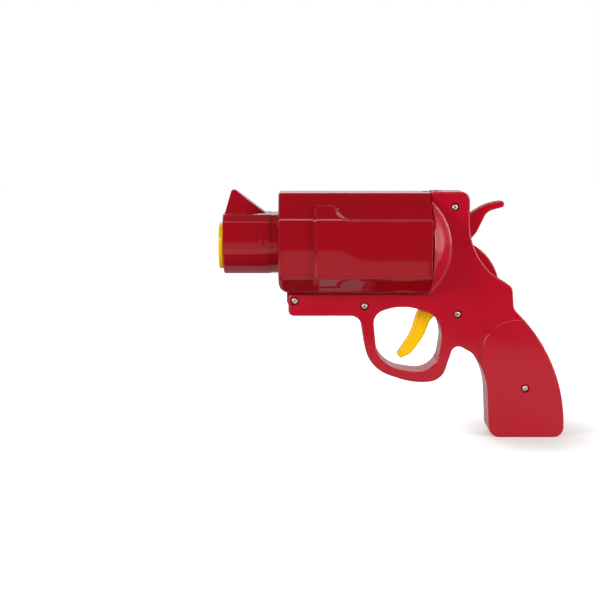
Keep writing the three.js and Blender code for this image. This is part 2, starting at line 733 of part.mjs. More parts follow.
// A torsion spring on the lever pivot: one leg runs up the lever, the other under a frame rib.
function triggerSpring() {
  const coilR = 5.3;
  const wireR = 0.4;
  const [x, z] = LEVER_PIVOT;
  const turnPoints = 12;
  const quarterTurns = 13;
  const y = (share) => THREE.MathUtils.lerp(LEVER_HALF + 1, 8.1, share);
  const points = [new THREE.Vector3(x - coilR, y(0), z + 16), new THREE.Vector3(x - coilR, y(0), z + 8)];
  const count = quarterTurns / 4 * turnPoints;
  for (let k = 0; k <= count; k += 1) {
    const angle = Math.PI + k / turnPoints * Math.PI * 2;
    points.push(new THREE.Vector3(x + coilR * Math.cos(angle), y(k / count), z + coilR * Math.sin(angle)));
  }
  points.push(new THREE.Vector3(x + 5, y(1), z - coilR), new THREE.Vector3(x + 11, y(1), z - coilR));
  return wire(new THREE.CatmullRomCurve3(points), wireR, 60);
}

// ---------------------------------------------------------------- cartridge

function cartridgeNozzle() {
  const outside = [
    [NOZZLE_TIP, 3.7],
    [NOZZLE_TIP + 0.6, 4.15],
    [NOZZLE_CONE, 7.3],
    [NOZZLE_SHOULDER, 21.1],
    [NOZZLE_END, 21.8],
  ];
  const inside = [
    [NOZZLE_END, 20.3],
    [NOZZLE_SHOULDER + 1, 19.8],
    [NOZZLE_CONE + 1.2, 5.8],
    [NOZZLE_TIP, 2.4],
  ];
  return turned([inside.at(-1), ...outside, ...inside], 28);
}

// A tube with a narrower neck that plugs into the nozzle's skirt.
function cartridgeBottle() {
  const neckFront = 6;
  const neckR = 17.6;
  const shoulder = NOZZLE_END + CLEARANCE;
  const outside = [
    [neckFront, neckR + 1.6],
    [shoulder, neckR + 2],
    [shoulder, BOTTLE_R - 1],
    [shoulder + 1, BOTTLE_R],
    [BOTTLE_END, BOTTLE_R],
  ];
  const inside = [
    [BOTTLE_END, BOTTLE_WALL_R],
    [shoulder + 1.5, BOTTLE_WALL_R],
    [shoulder + 1.5, neckR + 0.4],
    [neckFront, neckR],
  ];
  return turned([inside.at(-1), ...outside, ...inside]);
}

function cartridgeBellows() {
  const rings = 5;
  const pitch = (BELLOWS_END - BELLOWS_START) / rings;
  const folds = [];
  for (let k = 0; k < rings; k += 1) {
    const x = BELLOWS_START + k * pitch;
    folds.push([x, FOLD_INNER_R], [x + pitch * 0.35, FOLD_OUTER_R], [x + pitch * 0.65, FOLD_OUTER_R]);
  }
  const floor = BELLOWS_END - BELLOWS_FLOOR;
  return turned([
    ...folds,
    [BELLOWS_END, FOLD_INNER_R],
    [BELLOWS_END, 0],
    [floor, 0],
    [floor, BELLOWS_BORE_R],
    [BELLOWS_START, BELLOWS_BORE_R],
    [BELLOWS_START, FOLD_INNER_R],
  ], 28);
}

// ---------------------------------------------------------------- materials

function plastic(color, roughness = 0.3) {
  return new THREE.MeshStandardMaterial({ color, roughness, metalness: 0 });
}

const redPlastic = plastic(0xb01224);
const yellowPlastic = plastic(0xf6c200);
const creamPlastic = plastic(0xe3cf86, 0.45);
const steel = new THREE.MeshStandardMaterial({ color: 0xb9b6b0, roughness: 0.35, metalness: 1 });

// ---------------------------------------------------------------- assembly

const dispenser = new THREE.Group();

function place(name, geometry, material) {
  const mesh = new THREE.Mesh(geometry, material);
  mesh.name = name;
  dispenser.add(mesh);
}

place('frame_left', geometryOf(frameHalf(-1)), redPlastic);
place('frame_right', geometryOf(frameHalf(1)), redPlastic);
for (const [name, screw] of Object.entries(screws)) place(name, geometryOf(screwBody(screw)), steel);
place('cylinder_housing', geometryOf(cylinderHousing()), redPlastic);
place('barrel', geometryOf(barrel()), redPlastic);
place('muzzle_ring', geometryOf(muzzleRing()), yellowPlastic);
place('trigger', geometryOf(trigger()), yellowPlastic);
place('push_lever', geometryOf(pushLever()), redPlastic);
place('lever_axle', geometryOf(crossBar(LEVER_PIVOT, AXLE_R, -8.4, 8.4)), steel);
place('plunger', geometryOf(plunger()), redPlastic);
place('trigger_spring', triggerSpring(), steel);
place('hammer', geometryOf(hammer()), redPlastic);
place('hammer_spring', hammerSpring(), steel);
place('cartridge_nozzle', geometryOf(cartridgeNozzle()), yellowPlastic);
place('cartridge_bottle', geometryOf(cartridgeBottle()), creamPlastic);
place('cartridge_bellows', geometryOf(cartridgeBellows()), creamPlastic);

// The bounding box runs from the muzzle ring's front to the back of the grip.
dispenser.position.x = -(MUZZLE_RING_FRONT + GRIP_BACK) / 2;

export default dispenser;
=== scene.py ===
"""Looks of the sauce dispenser gun.

The shells, firing parts, screws, springs and cartridge are modelled here finely, in the places and sizes
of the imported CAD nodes, and each stands for its node. The drawing's own units are millimetres: X runs
from the muzzle to the grip and starts just behind the barrel hinge, Y is the thickness and Z is up.
"""

import math

import bpy
import numpy as np
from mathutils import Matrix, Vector
from mathutils.geometry import delaunay_2d_cdt


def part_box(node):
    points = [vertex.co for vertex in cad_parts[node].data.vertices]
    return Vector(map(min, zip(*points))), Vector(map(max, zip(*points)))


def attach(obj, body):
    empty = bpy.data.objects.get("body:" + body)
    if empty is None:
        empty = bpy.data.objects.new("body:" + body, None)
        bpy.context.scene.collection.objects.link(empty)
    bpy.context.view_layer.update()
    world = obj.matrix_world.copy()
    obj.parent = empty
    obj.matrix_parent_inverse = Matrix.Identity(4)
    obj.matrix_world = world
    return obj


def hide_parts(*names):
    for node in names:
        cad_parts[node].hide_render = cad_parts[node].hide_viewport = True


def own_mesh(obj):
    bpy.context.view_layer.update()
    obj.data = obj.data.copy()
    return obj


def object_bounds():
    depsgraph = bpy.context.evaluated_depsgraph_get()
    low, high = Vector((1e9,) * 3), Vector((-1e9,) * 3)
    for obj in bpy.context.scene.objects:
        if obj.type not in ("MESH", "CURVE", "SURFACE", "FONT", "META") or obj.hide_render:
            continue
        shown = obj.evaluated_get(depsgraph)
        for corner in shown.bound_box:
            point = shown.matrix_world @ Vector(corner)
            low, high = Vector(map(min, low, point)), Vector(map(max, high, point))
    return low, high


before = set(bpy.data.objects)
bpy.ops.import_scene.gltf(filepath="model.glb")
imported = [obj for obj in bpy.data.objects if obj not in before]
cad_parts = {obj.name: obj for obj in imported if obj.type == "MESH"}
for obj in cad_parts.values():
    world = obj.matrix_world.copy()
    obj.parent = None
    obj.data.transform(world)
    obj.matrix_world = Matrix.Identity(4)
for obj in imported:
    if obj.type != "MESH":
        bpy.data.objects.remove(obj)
cad_low, cad_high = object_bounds()

# ------------------------------------------------------------------ driving dimensions, millimetres

MM = 0.001
MUZZLE_RING_FRONT = -57.0
DRAWING_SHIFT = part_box("muzzle_ring")[0].x / MM - MUZZLE_RING_FRONT
BORE_Z = (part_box("muzzle_ring")[0].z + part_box("muzzle_ring")[1].z) / 2 / MM

HALF_THICKNESS = 11.0
WALL = 2.2
SEAM = 0.15
PANEL_HEIGHT = 1.5
FRAME_EDGE = 1.1
FRONT_FACE = 91.6
FRAME_TOP = 175.9
DOME_CENTRE_X = 63.8
DOME_R = 42.7
DOME_FILLET = 3.4

BARREL_HINGE = (-3.8, 98.5)
LEVER_PIVOT = (105.3, 105.6)
HAMMER_PIVOT = (108.4, 165.0)
GUARD_SCREW = (45.7, 94.9)
MIDDLE_SCREW = (111.7, 89.1)
GRIP_SCREW = (160.7, 35.7)

SCREW_HEAD_R = 2.2
SCREW_SHANK_R = 1.3
COUNTERBORE_R = 3.0
COUNTERBORE_DEPTH = 2.6
BOSS_R = 4.1

HOUSING_FRONT = -15.1
HOUSING_REAR = 91.0
HOUSING_TOP = 175.5
HOUSING_BOTTOM = 104.9
BULGE_FRONT = 9.9
CHAMBER_R = 26.2
BARREL_FRONT = -53.8
BARREL_NECK = -20.7
BARREL_R = 20.0
RING_R = 16.4

LEVER_HALF = 4.2
LEVER_HUB_R = 7.5
SECTOR_R = 36.7
SECTOR_ANGLES = (-5, 63)
AXLE_R = 2.0
AXLE_HALF = 8.4
TRIGGER_HALF = 3.3
HAMMER_HALF = 4.0
HOOK_HALF = 2.9
LATCH_R = 118.5            # the latch face is an arc of this radius about the barrel hinge
PLUNGER_FRONT = 90.4
PLUNGER_BACK = 92.4
PLUNGER_R = 17.0
RAIL_Y = (5.2, 7.4)
RAIL_END = 111
RAIL_HALF_HEIGHT = 4

CLEARANCE = 0.3            # gap between pieces that rest on or slide in each other
ROOM = 0.4                 # extra room on each side of a piece that swings in an opening
PIVOT_GAP = 0.25           # play between a piece and the axle it turns on
THROUGH = 20               # half the length of a cutter that goes right through

# Outlines as (X, Z, corner radius)
FRAME_OUTLINE = [
    (-8.3, 88.0, 4.0),
    (-8.3, 104.0, 3.5),
    (FRONT_FACE, 104.0, 0.8),
    (FRONT_FACE, FRAME_TOP, 1.4),
    (118.9, FRAME_TOP, 6.5),
    (118.8, 127.3, 49.0),
    (150.2, 108.6, 5.1),
    (151.5, 93.0, 8.0),
    (189.1, 55.6, 119.5),
    (189.2, 0, 7.5),
    (135.9, 0, 8.0),
    (133.0, 47.9, 51.7),
    (122.3, 61.4, 12.0),
    (109.7, 68.3, 5.2),
    (101.2, 41.2, 15.8),
    (81.2, 39.1, 60.9),
    (48.7, 50.2, 26.3),
    (42.5, 88.0, 7.9),
]
GUARD_WINDOW = [
    (71.7, 96.9, 50.5),
    (96.0, 88.6, 17.4),
    (101.3, 76.2, 31.2),
    (97.2, 46.9, 17.0),
    (80.8, 47.8, 40.0),
    (55.4, 51.6, 22.0),
    (51.7, 88.9, 12.7),
]
PANEL_ARCH = [
    (110, -40, 1),
    (127.8, 40, 1),
    (129.3, 85.9, 25.7),
    (230, 85.9, 1),
    (230, -40, 1),
]
FRONT_SIGHT = [
    (-52.6, 157, 0.5),
    (-52.6, 160.8, 1.5),
    (-48.2, 176.9, 1.8),
    (-45.4, 176.9, 2.2),
    (-24.1, 160.8, 5.0),
    (-19, 160.2, 0.5),
    (-19, 157, 0.5),
]
TRIGGER_BLADE = [
    (83.6, 90.0, 30),
    (79.6, 75.0, 30),
    (69.2, 59.0, 1.9),
    (72.4, 55.9, 1.9),
    (79.8, 59.6, 10),
    (88.2, 71.2, 24),
    (92.8, 83.4, 5),
    (104.2, 94.8, 2),
    (101.4, 98.4, 2),
    (88.4, 96.4, 6),
]
HAMMER_BODY = [
    (107.5, 147.2, 1.5),
    (107.5, 160, 2),
    (104.0, 166.0, 2),
    (107.4, 171.2, 3),
    (113.4, 170.4, 3),
    (118.6, 159.6, 2),
    (132.6, 168.6, 34),
    (144.6, 169.2, 2.2),
    (143.6, 164.8, 1.6),
    (132.0, 161.6, 9),
    (124.9, 146.6, 12),
    (121.4, 142.4, 1.5),
]

# ------------------------------------------------------------------ outlines and reliefs

ARC_STEP = math.radians(5)
LONGEST_EDGE = 3.0


def rounded(corners, arc_step=ARC_STEP, longest=LONGEST_EDGE):
    """Points of a closed outline whose corners are rounded, and the inward direction at each."""
    points = np.array([(x, z) for x, z, _ in corners], float)
    radii = np.array([radius for _, _, radius in corners], float)
    after = np.roll(points, -1, axis=0) - points
    lengths = np.linalg.norm(after, axis=1)
    after = after / lengths[:, None]
    before = -np.roll(after, 1, axis=0)
    half = np.arccos(np.clip((before * after).sum(1), -1, 1)) / 2
    reach = radii / np.tan(half)
    share = 0.99 * lengths / (reach + np.roll(reach, -1))
    fit = np.minimum(1, share)
    reach = reach * np.minimum(fit, np.roll(fit, 1))
    area = np.sum(points[:, 0] * np.roll(points[:, 1], -1) - np.roll(points[:, 0], -1) * points[:, 1])
    winding = math.copysign(1, area)
    found, inward = [], []
    for i, corner in enumerate(points):
        turn = math.copysign(math.pi - 2 * half[i], before[i][0] * after[i][1] - before[i][1] * after[i][0])
        radius = reach[i] * math.tan(half[i])
        middle = before[i] + after[i]
        centre = corner + middle / np.linalg.norm(middle) * reach[i] / math.cos(half[i])
        start = (corner + before[i] * reach[i] - centre) / radius
        steps = max(1, math.ceil(abs(turn) / arc_step))
        convex = -math.copysign(1, turn) * winding
        for k in range(steps + 1):
            angle = -turn * k / steps
            spoke = np.array([
                start[0] * math.cos(angle) - start[1] * math.sin(angle),
                start[0] * math.sin(angle) + start[1] * math.cos(angle),
            ])
            found.append(centre + spoke * radius)
            inward.append(-spoke * convex)
        following = (i + 1) % len(points)
        gap = lengths[i] - reach[i] - reach[following]
        pieces = math.ceil(gap / longest)
        normal = np.array([-after[i][1], after[i][0]]) * winding
        for k in range(1, pieces):
            found.append(corner + after[i] * (reach[i] + gap * k / pieces))
            inward.append(normal)
    return np.array(found), np.array(inward)


def distance_to(loop, points):
    """Distance from each point to a closed loop."""
    start, along = loop, np.roll(loop, -1, axis=0) - loop
    nearest = np.full(len(points), np.inf)
    for first in range(0, len(loop), 64):
        a, b = start[first:first + 64], along[first:first + 64]
        rel = points[:, None] - a[None]
        share = np.clip((rel * b).sum(2) / (b * b).sum(1), 0, 1)
        gap = np.linalg.norm(rel - share[..., None] * b, axis=2)
        nearest = np.minimum(nearest, gap.min(1))
    return nearest


def inside(loop, points):
    """True for each point that a closed loop goes round."""
    a, b = loop, np.roll(loop, -1, axis=0)
    x, z = points[:, 0, None], points[:, 1, None]
    spans = (a[:, 1] > z) != (b[:, 1] > z)
    rise = np.where(b[:, 1] == a[:, 1], 1e-12, b[:, 1] - a[:, 1])
    crosses = spans & (x < a[:, 0] + (z - a[:, 1]) * (b[:, 0] - a[:, 0]) / rise)
    return crosses.sum(1) % 2 == 1


def rounding(depth, radius):
    """How far an edge rounded to a radius has dropped at some depth in from the edge."""
    left = np.clip(radius - depth, 0, radius)
    return radius - np.sqrt(radius * radius - left * left)


def smooth_share(value, start, end):
    """0 before the start, 1 past the end, and eased between."""
    share = np.clip((value - start) / (end - start), 0, 1)
    return share * share * (3 - 2 * share)


def edge_loops(points, inward, radius, steps=6):
    """The loop itself and the loops further in that carry a rounded edge."""
    angles = np.linspace(0, math.pi / 2, steps + 1)
    return [points + inward * radius * (1 - math.cos(angle)) for angle in angles]


def relief(outer, holes, lines, top, bottom):
    """A closed solid over a side view, with loops and lines kept as edges between its top and bottom."""
    spots, edges = [], []
    for line, closed in [(loop, True) for loop in outer + holes] + lines:
        first = len(spots)
        spots.extend(map(tuple, line))
        edges.extend((first + k, first + k + 1) for k in range(len(line) - 1))
        if closed:
            edges.append((first + len(line) - 1, first))
    flat, _, faces, *_ = delaunay_2d_cdt([Vector(p) for p in spots], edges, [], 0, 1e-4)
    flat = np.array([tuple(p) for p in flat])
    faces = np.array(faces)
    middles = flat[faces].mean(1)
    kept = inside(outer[0], middles)
    for hole in holes:
        kept &= ~inside(hole, middles)
    faces = faces[kept]
    used, faces = np.unique(faces, return_inverse=True)
    faces = faces.reshape(-1, 3)
    flat = flat[used]
    count = len(flat)
    upper = np.column_stack([flat[:, 0], top(flat), flat[:, 1]])
    lower = np.column_stack([flat[:, 0], bottom(flat), flat[:, 1]])
    sides = np.concatenate([faces[:, [0, 1]], faces[:, [1, 2]], faces[:, [2, 0]]])
    present = {tuple(side) for side in sides}
    rim = [side for side in present if (side[1], side[0]) not in present]
    walls = [(b, a, a + count, b + count) for a, b in rim]
    polygons = [tuple(f) for f in faces] + [tuple(f[::-1] + count) for f in faces] + walls
    return np.concatenate([upper, lower]), polygons


# ------------------------------------------------------------------ making and cutting solids

def to_frame(points):
    """Drawing millimetres to the shared frame's metres."""
    return (np.array(points, float) + (DRAWING_SHIFT, 0, 0)) * MM


def solid(points, faces, name="cutter"):
    mesh = bpy.data.meshes.new(name)
    mesh.from_pydata(to_frame(points).tolist(), [], [tuple(int(i) for i in face) for face in faces])
    piece = bpy.data.objects.new(name, mesh)
    bpy.context.scene.collection.objects.link(piece)
    face_out(mesh)
    return piece


def face_out(mesh):
    """Turns a closed mesh's faces outwards."""
    corners = np.array([v.co for v in mesh.vertices])
    mesh.calc_loop_triangles()
    triangles = np.array([t.vertices for t in mesh.loop_triangles])
    a, b, c = corners[triangles[:, 0]], corners[triangles[:, 1]], corners[triangles[:, 2]]
    if np.einsum("ij,ij->i", a, np.cross(b, c)).sum() < 0:
        mesh.flip_normals()


def combine(piece, other, operation="DIFFERENCE"):
    """Applies a boolean with another solid, which is used up."""
    modifier = piece.modifiers.new("combine", "BOOLEAN")
    modifier.operation = operation
    modifier.solver = "MANIFOLD"
    modifier.object = other
    bpy.context.view_layer.objects.active = piece
    bpy.ops.object.modifier_apply(modifier=modifier.name)
    bpy.data.objects.remove(other)
    return piece


def cut(piece, *cutters):
    for cutter in cutters:
        combine(piece, cutter)
    return piece


def join(piece, *others):
    for other in others:
        combine(piece, other, "UNION")
    return piece


def block(x0, x1, y0, y1, z0, z1):
    points = [(x, y, z) for x in (x0, x1) for y in (y0, y1) for z in (z0, z1)]
    faces = [(0, 1, 3, 2), (4, 6, 7, 5), (0, 4, 5, 1), (2, 3, 7, 6), (0, 2, 6, 4), (1, 5, 7, 3)]
    return solid(points, faces)


def rings_solid(rings, name="cutter"):
    """Closed rings of equal length, joined in order and capped at both ends."""
    count = len(rings[0])
    faces = []
    for r in range(len(rings) - 1):
        low, high = r * count, (r + 1) * count
        faces += [(low + k, low + (k + 1) % count, high + (k + 1) % count, high + k) for k in range(count)]
    points = np.concatenate(rings)
    ends = np.array([rings[0].mean(0), rings[-1].mean(0)])
    last = (len(rings) - 1) * count
    centre = len(points)
    faces += [(centre, (k + 1) % count, k) for k in range(count)]
    faces += [(centre + 1, last + k, last + (k + 1) % count) for k in range(count)]
    return solid(np.concatenate([points, ends]), faces, name)


def stepped_bar(at, steps, count=48):
    """A round bar across the gun, drawn through (Y, radius) steps."""
    turns = np.linspace(0, 2 * math.pi, count, endpoint=False)
    rings = []
    for y, radius in steps:
        x, z = at[0] + radius * np.cos(turns), at[1] + radius * np.sin(turns)
        rings.append(np.column_stack([x, np.full(count, y), z]))
    return rings_solid(rings)


def cross_bar(at, radius, y0, y1, count=48):
    return stepped_bar(at, [(y0, radius), (y1, radius)], count)


def turned(profile, count=96, name="cutter"):
    """A closed or axis-to-axis profile of (X, radius) points turned about the bore."""
    turns = np.linspace(0, 2 * math.pi, count, endpoint=False)
    columns = [[(x, r * math.cos(t), BORE_Z + r * math.sin(t)) for t in turns] for x, r in profile]
    if profile[0][1] == 0:
        return rings_solid([np.array(ring) for ring in columns[1:-1]], name)
    points = np.concatenate([np.array(ring) for ring in columns])
    faces = []
    for r in range(len(profile)):
        low, high = r * count, (r + 1) % len(profile) * count
        faces += [(low + k, low + (k + 1) % count, high + (k + 1) % count, high + k) for k in range(count)]
    return solid(points, faces, name)


def bore_bar(radius, x0, x1, count=96):
    return turned([(x0, 0), (x0, radius), (x1, radius), (x1, 0)], count)


def softened(profile, radius, steps=5):
    """A closed (X, radius) profile with every corner rounded."""
    points, _ = rounded([(x, r, radius) for x, r in profile], math.pi / 2 / steps, 1000)
    return [tuple(p) for p in points]


def shade(piece, angle=32):
    """Smooth shading that keeps flats flat and real edges sharp."""
    piece.data.shade_smooth()
    piece.data.set_sharp_from_angle(angle=math.radians(angle))
    weighted = piece.modifiers.new("flats", "WEIGHTED_NORMAL")
    weighted.keep_sharp = True
    weighted.weight = 100
    return piece


def stands_for(piece, node, body, material, material_slot):
    """Names a finished piece, gives it its material and lets it stand for its CAD node."""
    piece.name = node + "_shell"
    piece.data.name = piece.name
    piece.data.materials.clear()
    piece.data.materials.append(material)
    shade(piece)
    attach(piece, body)
    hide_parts(node)
    return piece


# ------------------------------------------------------------------ frame halves

SCREWS = {
    "screw_hinge": (BARREL_HINGE, HALF_THICKNESS),
    "screw_guard": (GUARD_SCREW, HALF_THICKNESS),
    "screw_middle": (MIDDLE_SCREW, HALF_THICKNESS),
    "screw_hammer": (HAMMER_PIVOT, HALF_THICKNESS),
    "screw_grip": (GRIP_SCREW, HALF_THICKNESS + PANEL_HEIGHT),
}
BOSS_NECKS = {
    "screw_hinge": (2.6, 5.9),
    "screw_guard": (3.4, 4.0),
    "screw_middle": (3.4, 4.0),
    "screw_hammer": (3.6, 4.3),
    "screw_grip": (3.4, 4.0),
}
PANEL_FOOT = 0.4
PANEL_CROWN = PANEL_HEIGHT - PANEL_FOOT
DOME_FRONT_EDGE = 2.6
DOME_EDGE_FADE = 8.0
DOME_SPAN = 60             # more than the dome's reach across the gun
HINGE_ROOM_R = 9.0
HINGE_ROOM_HALF = 5.9
TRIGGER_SLOT = (82.5, 109, 77, 98.5)     # openings: where they start and end along X, then along Z
HAMMER_SLOT = (114, 126, 139.5, 163.5)
HOOK_SLOT = (90, 100.4, 167.5, 180)
PUSH_SLOT = (90, 95, 112, 125)
LEVER_WINDOW = (114, 146, 104, 144)
HINGE_WINDOW = (-20, 20, 92.4, 120)
PLUNGER_ROOM_R = 17.6
RIB = 1.8
RIB_X = (96, 103)
RIB_Y = (4.9, 13)
AXLE_SEAT_R = 4.1
AXLE_SEAT_Y = (5.0, 10)
FILLET_REACH = math.sqrt((DOME_R + DOME_FILLET) ** 2 - (HALF_THICKNESS + DOME_FILLET) ** 2)
ARCH, _ = rounded(PANEL_ARCH)
OUTLINE, OUTLINE_INWARD = rounded(FRAME_OUTLINE)
WINDOW, WINDOW_INWARD = rounded(GUARD_WINDOW)


def dome_height(points):
    """Half thickness of the frame where the recoil dome swells out of its side."""
    reach = np.hypot(points[:, 0] - DOME_CENTRE_X, points[:, 1] - BORE_Z)
    touch = FILLET_REACH * DOME_R / (DOME_R + DOME_FILLET)
    ball = np.sqrt(np.clip(DOME_R ** 2 - reach ** 2, 0, None))
    hollow = np.sqrt(np.clip(DOME_FILLET ** 2 - (FILLET_REACH - reach) ** 2, 0, None))
    fillet = HALF_THICKNESS + DOME_FILLET - hollow
    height = np.where(reach < touch, ball, np.where(reach < FILLET_REACH, fillet, HALF_THICKNESS))
    share = np.clip((height - HALF_THICKNESS) / DOME_EDGE_FADE, 0, 1)
    height = height - share * rounding(points[:, 0] - FRONT_FACE, DOME_FRONT_EDGE)
    return np.where(points[:, 0] < FRONT_FACE - 1e-3, HALF_THICKNESS, height)


def panel_height(points):
    """How far the grip panel stands proud, with a rounded crown and foot along its arch."""
    depth = distance_to(ARCH, points) * np.where(inside(ARCH, points), 1, -1)
    climb = np.clip(depth, -PANEL_FOOT, 0) + PANEL_FOOT
    fillet = PANEL_FOOT - np.sqrt(np.clip(PANEL_FOOT ** 2 - climb ** 2, 0, None))
    foot = np.where(depth <= -PANEL_FOOT, 0, fillet)
    crown = PANEL_CROWN - rounding(np.clip(depth, 0, None), PANEL_CROWN)
    return np.where(depth <= 0, foot, PANEL_FOOT + crown)


def frame_height(points):
    depth = np.minimum(distance_to(OUTLINE, points), distance_to(WINDOW, points))
    return dome_height(points) + panel_height(points) - rounding(depth, FRAME_EDGE)


def dome_lines():
    """Arcs round the dome, closer together in its fillet, and the lines of its rounded front edge."""
    reaches = list(np.arange(27.5, 39, 1.2)) + list(np.linspace(39.5, FILLET_REACH, 12))
    centre = np.array((DOME_CENTRE_X, BORE_Z))
    lines = []
    for reach in reaches:
        turn = math.acos(min(1, (FRONT_FACE - 1 - DOME_CENTRE_X) / reach))
        turns = np.linspace(-turn, turn, 48)
        lines.append(centre + reach * np.column_stack([np.cos(turns), np.sin(turns)]))
    for angle in np.linspace(0.2, math.pi / 2, 6):
        x = FRONT_FACE + DOME_FRONT_EDGE * (1 - math.cos(angle))
        heights = np.linspace(101.5, FRAME_TOP - 0.5, 60)
        lines.append(np.column_stack([np.full_like(heights, x), heights]))
    return lines


def arch_lines():
    points, inward = rounded(PANEL_ARCH)
    foot = [-PANEL_FOOT * (1 - math.sin(a)) for a in np.linspace(0, math.pi / 2, 4)]
    crown = [PANEL_CROWN * (1 - math.cos(a)) for a in np.linspace(0, math.pi / 2, 7)[1:]]
    return [points + inward * depth for depth in foot + crown]


def frame_block():
    """One half, solid, before it is hollowed: its side face is at +Y."""
    outer = edge_loops(OUTLINE, OUTLINE_INWARD, FRAME_EDGE)
    guard = edge_loops(WINDOW, -WINDOW_INWARD, FRAME_EDGE)
    lines = [(loop, True) for loop in outer[1:] + guard[1:] + arch_lines()]
    lines += [(line, False) for line in dome_lines()]
    return relief([outer[0]], [guard[0]], lines, frame_height, lambda p: np.full(len(p), SEAM))


def around_dome(x0, y0, y1):
    """A block that holds all of the dome behind an upright face."""
    return block(x0, 130, y0, y1, 80, 190)


def ball(radius, front):
    """The part of the dome's sphere behind an upright face."""
    turns = np.linspace(0, math.pi, 33)[1:-1]
    profile = [(DOME_CENTRE_X - radius * math.cos(t), radius * math.sin(t)) for t in turns]
    sphere = turned([(DOME_CENTRE_X - radius, 0)] + profile + [(DOME_CENTRE_X + radius, 0)], 64)
    return combine(sphere, around_dome(front, -DOME_SPAN, DOME_SPAN), "INTERSECT")


def slab(points, y0, y1):
    top, bottom = max(y0, y1), min(y0, y1)
    return solid(*relief([points], [], [], lambda p: np.full(len(p), top), lambda p: np.full(len(p), bottom)))


def cavity(side):
    """The room inside one half."""
    ceiling = side * (HALF_THICKNESS - WALL)
    room = slab(OUTLINE + OUTLINE_INWARD * WALL, -side, ceiling)
    cut(room, slab(WINDOW - WINDOW_INWARD * WALL, -THROUGH, THROUGH))
    dome_room = ball(DOME_R - WALL, FRONT_FACE + WALL)
    combine(dome_room, around_dome(80, *sorted((0, side * DOME_SPAN))), "INTERSECT")
    return join(room, dome_room)


def slot(limits, half):
    x0, x1, z0, z1 = limits
    return block(x0, x1, -half, half, z0, z1)


def frame_openings():
    """Solids that cut the walls where another piece comes through."""
    hinge_room = cross_bar(BARREL_HINGE, HINGE_ROOM_R, -HINGE_ROOM_HALF, HINGE_ROOM_HALF)
    combine(hinge_room, slot(HINGE_WINDOW, 10), "INTERSECT")
    lever_half = LEVER_HALF + ROOM
    lever_room = cross_bar(LEVER_PIVOT, SECTOR_R + 2 * CLEARANCE, -lever_half, lever_half, 128)
    combine(lever_room, slot(LEVER_WINDOW, 10), "INTERSECT")
    return [
        hinge_room,
        lever_room,
        slot(TRIGGER_SLOT, TRIGGER_HALF + 2 * CLEARANCE),
        slot(HAMMER_SLOT, HAMMER_HALF + ROOM),
        slot(HOOK_SLOT, HOOK_HALF + ROOM),
        bore_bar(PLUNGER_ROOM_R, *PUSH_SLOT[:2]),
        slot(PUSH_SLOT, LEVER_HALF + 2 * CLEARANCE),
    ]


def on_side(side, reach):
    """Where a stretch out from the middle plane starts and ends in one half, low end first."""
    return sorted(side * y for y in reach)


def frame_ribs(side):
    """The ribs and screw bosses inside one half."""
    rail_room = RAIL_HALF_HEIGHT + CLEARANCE
    ribs = []
    for low in (BORE_Z + rail_room, BORE_Z - rail_room - RIB):
        ribs.append(block(*RIB_X, *on_side(side, RIB_Y), low, low + RIB))
    ribs.append(cross_bar(LEVER_PIVOT, AXLE_SEAT_R, *on_side(side, AXLE_SEAT_Y)))
    for name, (at, _) in SCREWS.items():
        neck_r, neck_to = BOSS_NECKS[name]
        ribs.append(cross_bar(at, neck_r, *on_side(side, (SEAM, neck_to + 1))))
        ribs.append(cross_bar(at, BOSS_R, *on_side(side, (neck_to, HALF_THICKNESS - 0.5))))
    return ribs


def counterbore(at, face):
    """The screw's recess in the left side, with a softened mouth."""
    mouth = 0.35
    steps = [(face - COUNTERBORE_DEPTH, 0), (face - mouth, 0), (face - mouth / 3, mouth / 3)]
    steps += [(face, mouth), (face + 2, mouth + 2)]
    return stepped_bar(at, [(-depth, COUNTERBORE_R + grow) for depth, grow in steps], 64)


def frame_half(side):
    points, faces = frame_block()
    half = solid(points * (1, side, 1), faces, "half")
    cut(half, cavity(side), *frame_openings())
    join(half, *frame_ribs(side))
    shank_r = SCREW_SHANK_R + CLEARANCE
    for at, face in SCREWS.values():
        if side < 0:
            cut(half, cross_bar(at, shank_r, -face - 1, 1, 24), counterbore(at, face))
        else:
            cut(half, cross_bar(at, shank_r, -1, 7, 24))
    axle_end = AXLE_HALF + CLEARANCE
    cut(half, cross_bar(LEVER_PIVOT, AXLE_R + CLEARANCE, -axle_end, axle_end, 32))
    return half


# ------------------------------------------------------------------ shapes drawn round the bore

def round_and(a, b, radius):
    """Both of two signed distances, with the edge between them rounded."""
    meet = np.hypot(np.maximum(a + radius, 0), np.maximum(b + radius, 0))
    return np.minimum(np.maximum(a, b), -radius) + meet


def round_or(a, b, radius):
    return -round_and(-a, -b, radius)


def facet(y, z, start, end):
    """Signed distance to the outside of the edge that runs clockwise from start to end."""
    dy, dz = end[0] - start[0], end[1] - start[1]
    size = math.hypot(dy, dz)
    return ((y - start[0]) * -dz + (z - start[1]) * dy) / size


def surface_rings(distance, stations, bearings):
    """Where rays from the bore cross a surface given by its signed distance, one ring for each station."""
    x = np.array(stations)[:, None]
    cos, sin = np.cos(bearings)[None], np.sin(bearings)[None]
    low = np.full((len(stations), len(bearings)), 3.0)
    high = np.full_like(low, 60.0)
    for _ in range(30):
        middle = (low + high) / 2
        outside = distance(x, middle * cos, BORE_Z + middle * sin) > 0
        high = np.where(outside, middle, high)
        low = np.where(outside, low, middle)
    shape = np.broadcast_to(x, low.shape)
    points = np.stack([shape, low * cos, BORE_Z + low * sin], axis=2)
    return list(points)


